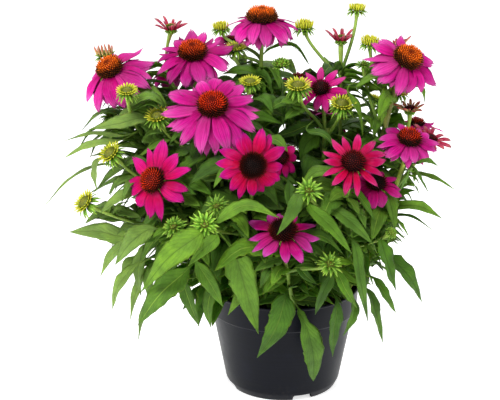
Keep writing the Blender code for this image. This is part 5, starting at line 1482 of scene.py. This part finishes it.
def line_at(across, place, half):
    """1 on the vein at that distance from the midrib, falling to 0 at its sides."""
    return abs(across - place).span(half, 0.0)


def leaf_look():
    """A leaf: a sunken midrib, dark with painted shade on some leaves and pale on others, painted
    shade beside it, side veins that slant to the tip with the blade raised between them, a faint
    net, mottled green and a painted highlight along the edges."""
    look = Look("leaf_fine", Subsurface_Weight=0.10, Subsurface_Radius=(0.5, 1.0, 0.1),
                Subsurface_Scale=0.003, Specular_IOR_Level=0.14)
    across, along, tone = look.parts(look.read("place"))
    tint, where, side = look.read("tint", "Color"), look.where(), abs(across)
    midrib = side.span(along.span(0.0, 1.0, 0.050, 0.085), 0.0)
    beside = look.node("Math", enumerate((1.0, midrib)), operation="SUBTRACT")
    # Painted shade that darkens the blade along both sides of the sunken midrib
    midrib_shade = side.span(0.22, 0.05) * beside
    veins = line_at(side, 0.40, 0.040).math("MAXIMUM", line_at(side, 0.74, 0.030))
    slant = along * 10.0 - side * 3.2
    wave = ((slant + look.noise(where, 110.0) * 1.3) * HALF_TURN).wave()
    cross, puff = wave.span(0.16, 0.0), wave.span(0.0, 0.9)
    net = look.cells(where, 480.0).span(0.10, 0.0)
    mottle, fine = look.noise(where, 60.0, 4.0), look.noise(where, 1300.0, 3.0)
    base = tint.lighter(mottle.span(0.3, 0.7, 0.74, 1.22)).lighter(puff.span(0.0, 1.0, 0.96, 1.04))
    yellow = look.mix(1.0, base, (1.25, 1.10, 0.60), "MULTIPLY")
    base = look.mix(mottle.span(0.45, 0.75) * 0.35, base, yellow)
    for share, amount, dark in ((cross, 0.26, 0.60), (veins, 0.20, 0.62), (net, 0.20, 0.70),
                                (midrib_shade, 0.30, 0.68)):
        base = look.mix(share * amount, base, tint.lighter(dark))
    # The dark midrib is painted shade in its groove; the pale one, VEIN_GREEN, is its own colour
    line = look.mix(tone.span(0.45, 0.75), tint.lighter(0.42), VEIN_GREEN)
    base = look.mix(midrib * 0.75, base, line)
    # Paler along the edges: a painted highlight on the rim of the blade
    look.colour(look.mix(side.span(0.93, 1.0) * 0.35, base, tint.lighter(1.45)))
    look.rough(fine.span(0.3, 0.7, 0.46, 0.66))
    look.bump(veins * -0.6 + puff * 1.0 + net * -0.25 + fine * 0.30, 0.45, 0.0006)
    return look.material


def petal_look():
    """A petal: lengthwise veins and ridges, with painted shade in its two grooves, darker at its root and
    paler at its tip.
    """
    look = Look("petal_fine", Subsurface_Weight=0.06, Subsurface_Radius=(1.0, 0.15, 0.6),
                Subsurface_Scale=0.002, Specular_IOR_Level=0.04)
    across, along, tone = look.parts(look.read("place"))
    tint, where, side = look.read("tint", "Color"), look.where(), abs(across)
    streaks = look.noise(look.vector(across * 9.0, along * 1.3, tone * 40.0), 1.0, 3.0, 0.6)
    veins = (across * 17.0 + streaks * 2.0).wave()
    base = tint.lighter(streaks.span(0.3, 0.7, 0.76, 1.24)).lighter(tone.span(0.0, 1.0, 0.86, 1.14))
    # Painted shade along the petal's two sunken grooves
    groove_shade = line_at(side, 0.34, 0.14)
    for share, amount, dark in ((veins.span(0.32, 0.0), 0.36, 0.58), (groove_shade, 0.36, 0.62)):
        base = look.mix(share * amount, base, tint.lighter(dark))
    patches = look.noise(where, 110.0, 3.0).span(0.45, 0.72)
    base = look.mix(patches * 0.10, base, PETAL_BLOOM)
    rim = side.span(0.84, 1.0) * along.span(0.3, 1.0, 0.08, 0.45)
    look.colour(look.mix(rim, base, PETAL_BLOOM))
    look.rough(streaks.span(0.3, 0.7, 0.48, 0.64))
    look.bump(veins * 0.8 + streaks * 0.8, 0.6, 0.0005)
    return look.material


def grown_look(name, speck, rough_low, rough_high, **constants):
    """Stalks, bracts and cones: their tint with streaks and specks of a size of their own."""
    look = Look(name, **constants)
    across, along, tone = look.parts(look.read("place"))
    streaks = look.noise(look.vector(across * 14.0, along * 3.0, tone * 30.0), 1.0, 2.0)
    specks, tint = look.noise(look.where(), speck, 3.0), look.read("tint", "Color")
    base = tint.lighter(streaks.span(0.3, 0.7, 0.80, 1.20)).lighter(specks.span(0.3, 0.7, 0.80, 1.20))
    look.colour(look.mix(tone * 0.15, base, tint.lighter(1.4)))
    look.rough(specks.span(0.3, 0.7, rough_low, rough_high))
    look.bump(streaks + specks * 0.6, 0.4, 0.0005)
    return look.material


def pot_look():
    """Thin moulded plastic: blue-black, satin, with a fine grain, scuffs and dried splashes."""
    look = Look("pot_fine", Specular_IOR_Level=0.13)
    where = look.where()
    x, y, z = look.parts(where)
    grain, scuff = look.noise(where, 1400.0, 2.0), look.noise(where, 26.0, 5.0, 0.65)
    lines = look.noise(look.vector(x * 4.0, y * 4.0, z * 600.0), 1.0, 2.0)
    base = look.mix(scuff.span(0.52, 0.78) * 0.14, POT_BLACK, POT_DUST)
    base = look.mix(lines.span(0.4, 0.7) * 0.05, base, POT_DUST)
    splash = z.span(0.030, 0.0) * look.noise(where, 160.0, 4.0).span(0.52, 0.66)
    look.colour(look.mix(splash * 0.20, base, SOIL_DUST))
    look.rough(scuff.span(0.3, 0.75, 0.30, 0.44))
    look.bump(grain * 0.6 + lines * 0.4, 0.22, 0.0002)
    return look.material


def soil_look():
    look = Look("soil_fine", Specular_IOR_Level=0.2)
    tint, where = look.read("tint", "Color"), look.where()
    crumbs, clods = look.noise(where, 700.0, 4.0), look.noise(where, 90.0, 4.0)
    base = tint.lighter(crumbs.span(0.3, 0.7, 0.55, 1.5))
    look.colour(look.mix(clods.span(0.5, 0.8) * 0.4, base, BARK * 0.6))
    look.rough(crumbs.span(0.3, 0.7, 0.85, 1.0))
    look.bump(crumbs + clods, 0.8, 0.0015)
    return look.material


HALF_TURN = 3.1416
VEIN_GREEN, PETAL_BLOOM = rgb(136, 168, 62), rgb(206, 92, 166)
POT_BLACK, POT_DUST, SOIL_DUST = rgb(3, 5, 15), rgb(32, 38, 58), rgb(60, 54, 46)


def make_looks():
    return {
        "leaf": leaf_look(),
        "petal": petal_look(),
        "stalk": grown_look("stalk_fine", 900.0, 0.45, 0.62, Specular_IOR_Level=0.35,
                            Subsurface_Weight=0.08, Subsurface_Scale=0.002),
        "bract": grown_look("bract_fine", 1100.0, 0.45, 0.62, Specular_IOR_Level=0.3,
                            Subsurface_Weight=0.10, Subsurface_Scale=0.002),
        "cone": grown_look("cone_fine", 1500.0, 0.50, 0.70, Specular_IOR_Level=0.08),
        "pot": pot_look(),
        "soil": soil_look(),
    }


# Camera, floor and light

def make_camera():
    data = bpy.data.cameras.new("camera")
    data.sensor_width = 36.0
    data.lens = FOCAL_PX / PICTURE_WIDTH_PX * data.sensor_width
    camera = add_object("camera", data)
    camera.location = EYE
    camera.rotation_euler = (math.pi / 2 - PITCH, 0.0, 0.0)
    bpy.context.scene.camera = camera


def make_floor():
    """A pale floor, finely mottled, that runs out of every view."""
    mesh, work = bpy.data.meshes.new("floor"), bmesh.new()
    bmesh.ops.create_grid(work, x_segments=8, y_segments=8, size=FLOOR_SIZE)
    work.to_mesh(mesh)
    work.free()
    floor = add_object("floor", mesh)
    floor.location.z = FLOOR_LEVEL
    look = Look("floor", Roughness=0.9, Specular_IOR_Level=0.1, Emission_Color=(1.0, 1.0, 1.0, 1.0),
                Emission_Strength=FLOOR_GLOW)
    look.colour(look.mix(look.noise(look.where(), 3.0), (0.93, 0.93, 0.93), (0.95, 0.95, 0.95)))
    mesh.materials.append(look.material)


def add_light(name, spot, aim, size, power):
    data = bpy.data.lights.new(name, "AREA")
    data.size, data.energy = size, power
    light = add_object(name, data)
    light.location = spot
    light.rotation_euler = (Vector(aim) - Vector(spot)).to_track_quat("-Z", "Y").to_euler()


def make_light():
    world = bpy.data.worlds.new("studio")
    world.use_nodes = True
    background = world.node_tree.nodes["Background"]
    background.inputs["Color"].default_value = (1.0, 1.0, 1.0, 1.0)
    background.inputs["Strength"].default_value = WORLD_LIGHT
    bpy.context.scene.world = world
    for light in LIGHTS:
        add_light(*light)
    bpy.context.scene.view_settings.view_transform = "Standard"
    bpy.context.scene.view_settings.look = "None"


FLOOR_SIZE, FLOOR_LEVEL, FLOOR_GLOW, WORLD_LIGHT = 40.0, -0.0003, 0.66, 0.50
# Lights: name, place, what it is aimed at, size in metres and power in watts
LIGHTS = (
    ("key", (-1.0, -1.5, 2.1), (-0.03, 0.0, 0.28), 0.9, 48.0),
    ("side", (-1.7, -0.5, 0.55), (-0.05, 0.0, 0.16), 0.7, 6.0),
    ("fill", (1.8, -1.3, 1.2), (0.0, 0.0, 0.22), 1.4, 13.0),
    ("back", (0.2, 1.6, 2.2), (0.0, 0.0, 0.30), 1.6, 24.0),
)


def main():
    make_camera()
    make_floor()
    make_light()
    looks = make_looks()
    make_pot(looks)
    make_soil(looks)
    for bloom in BLOOMS:
        grow_petals(bloom, looks)
        grow_cone(bloom, looks)
    for bloom in OPENING:
        grow_rays(bloom, looks)
        grow_cone(bloom, looks)
    plant = Plant()
    plant.find_stems()
    plant.find_branches()
    plant.mark_stalks()
    plant.grow_stalks()
    plant.grow_seen_leaves()
    plant.grow_rule_leaves()
    plant.grow_inner_leaves()
    plant.grow_cups()
    plant.grow_buds()
    plant.pieces(looks)


main()
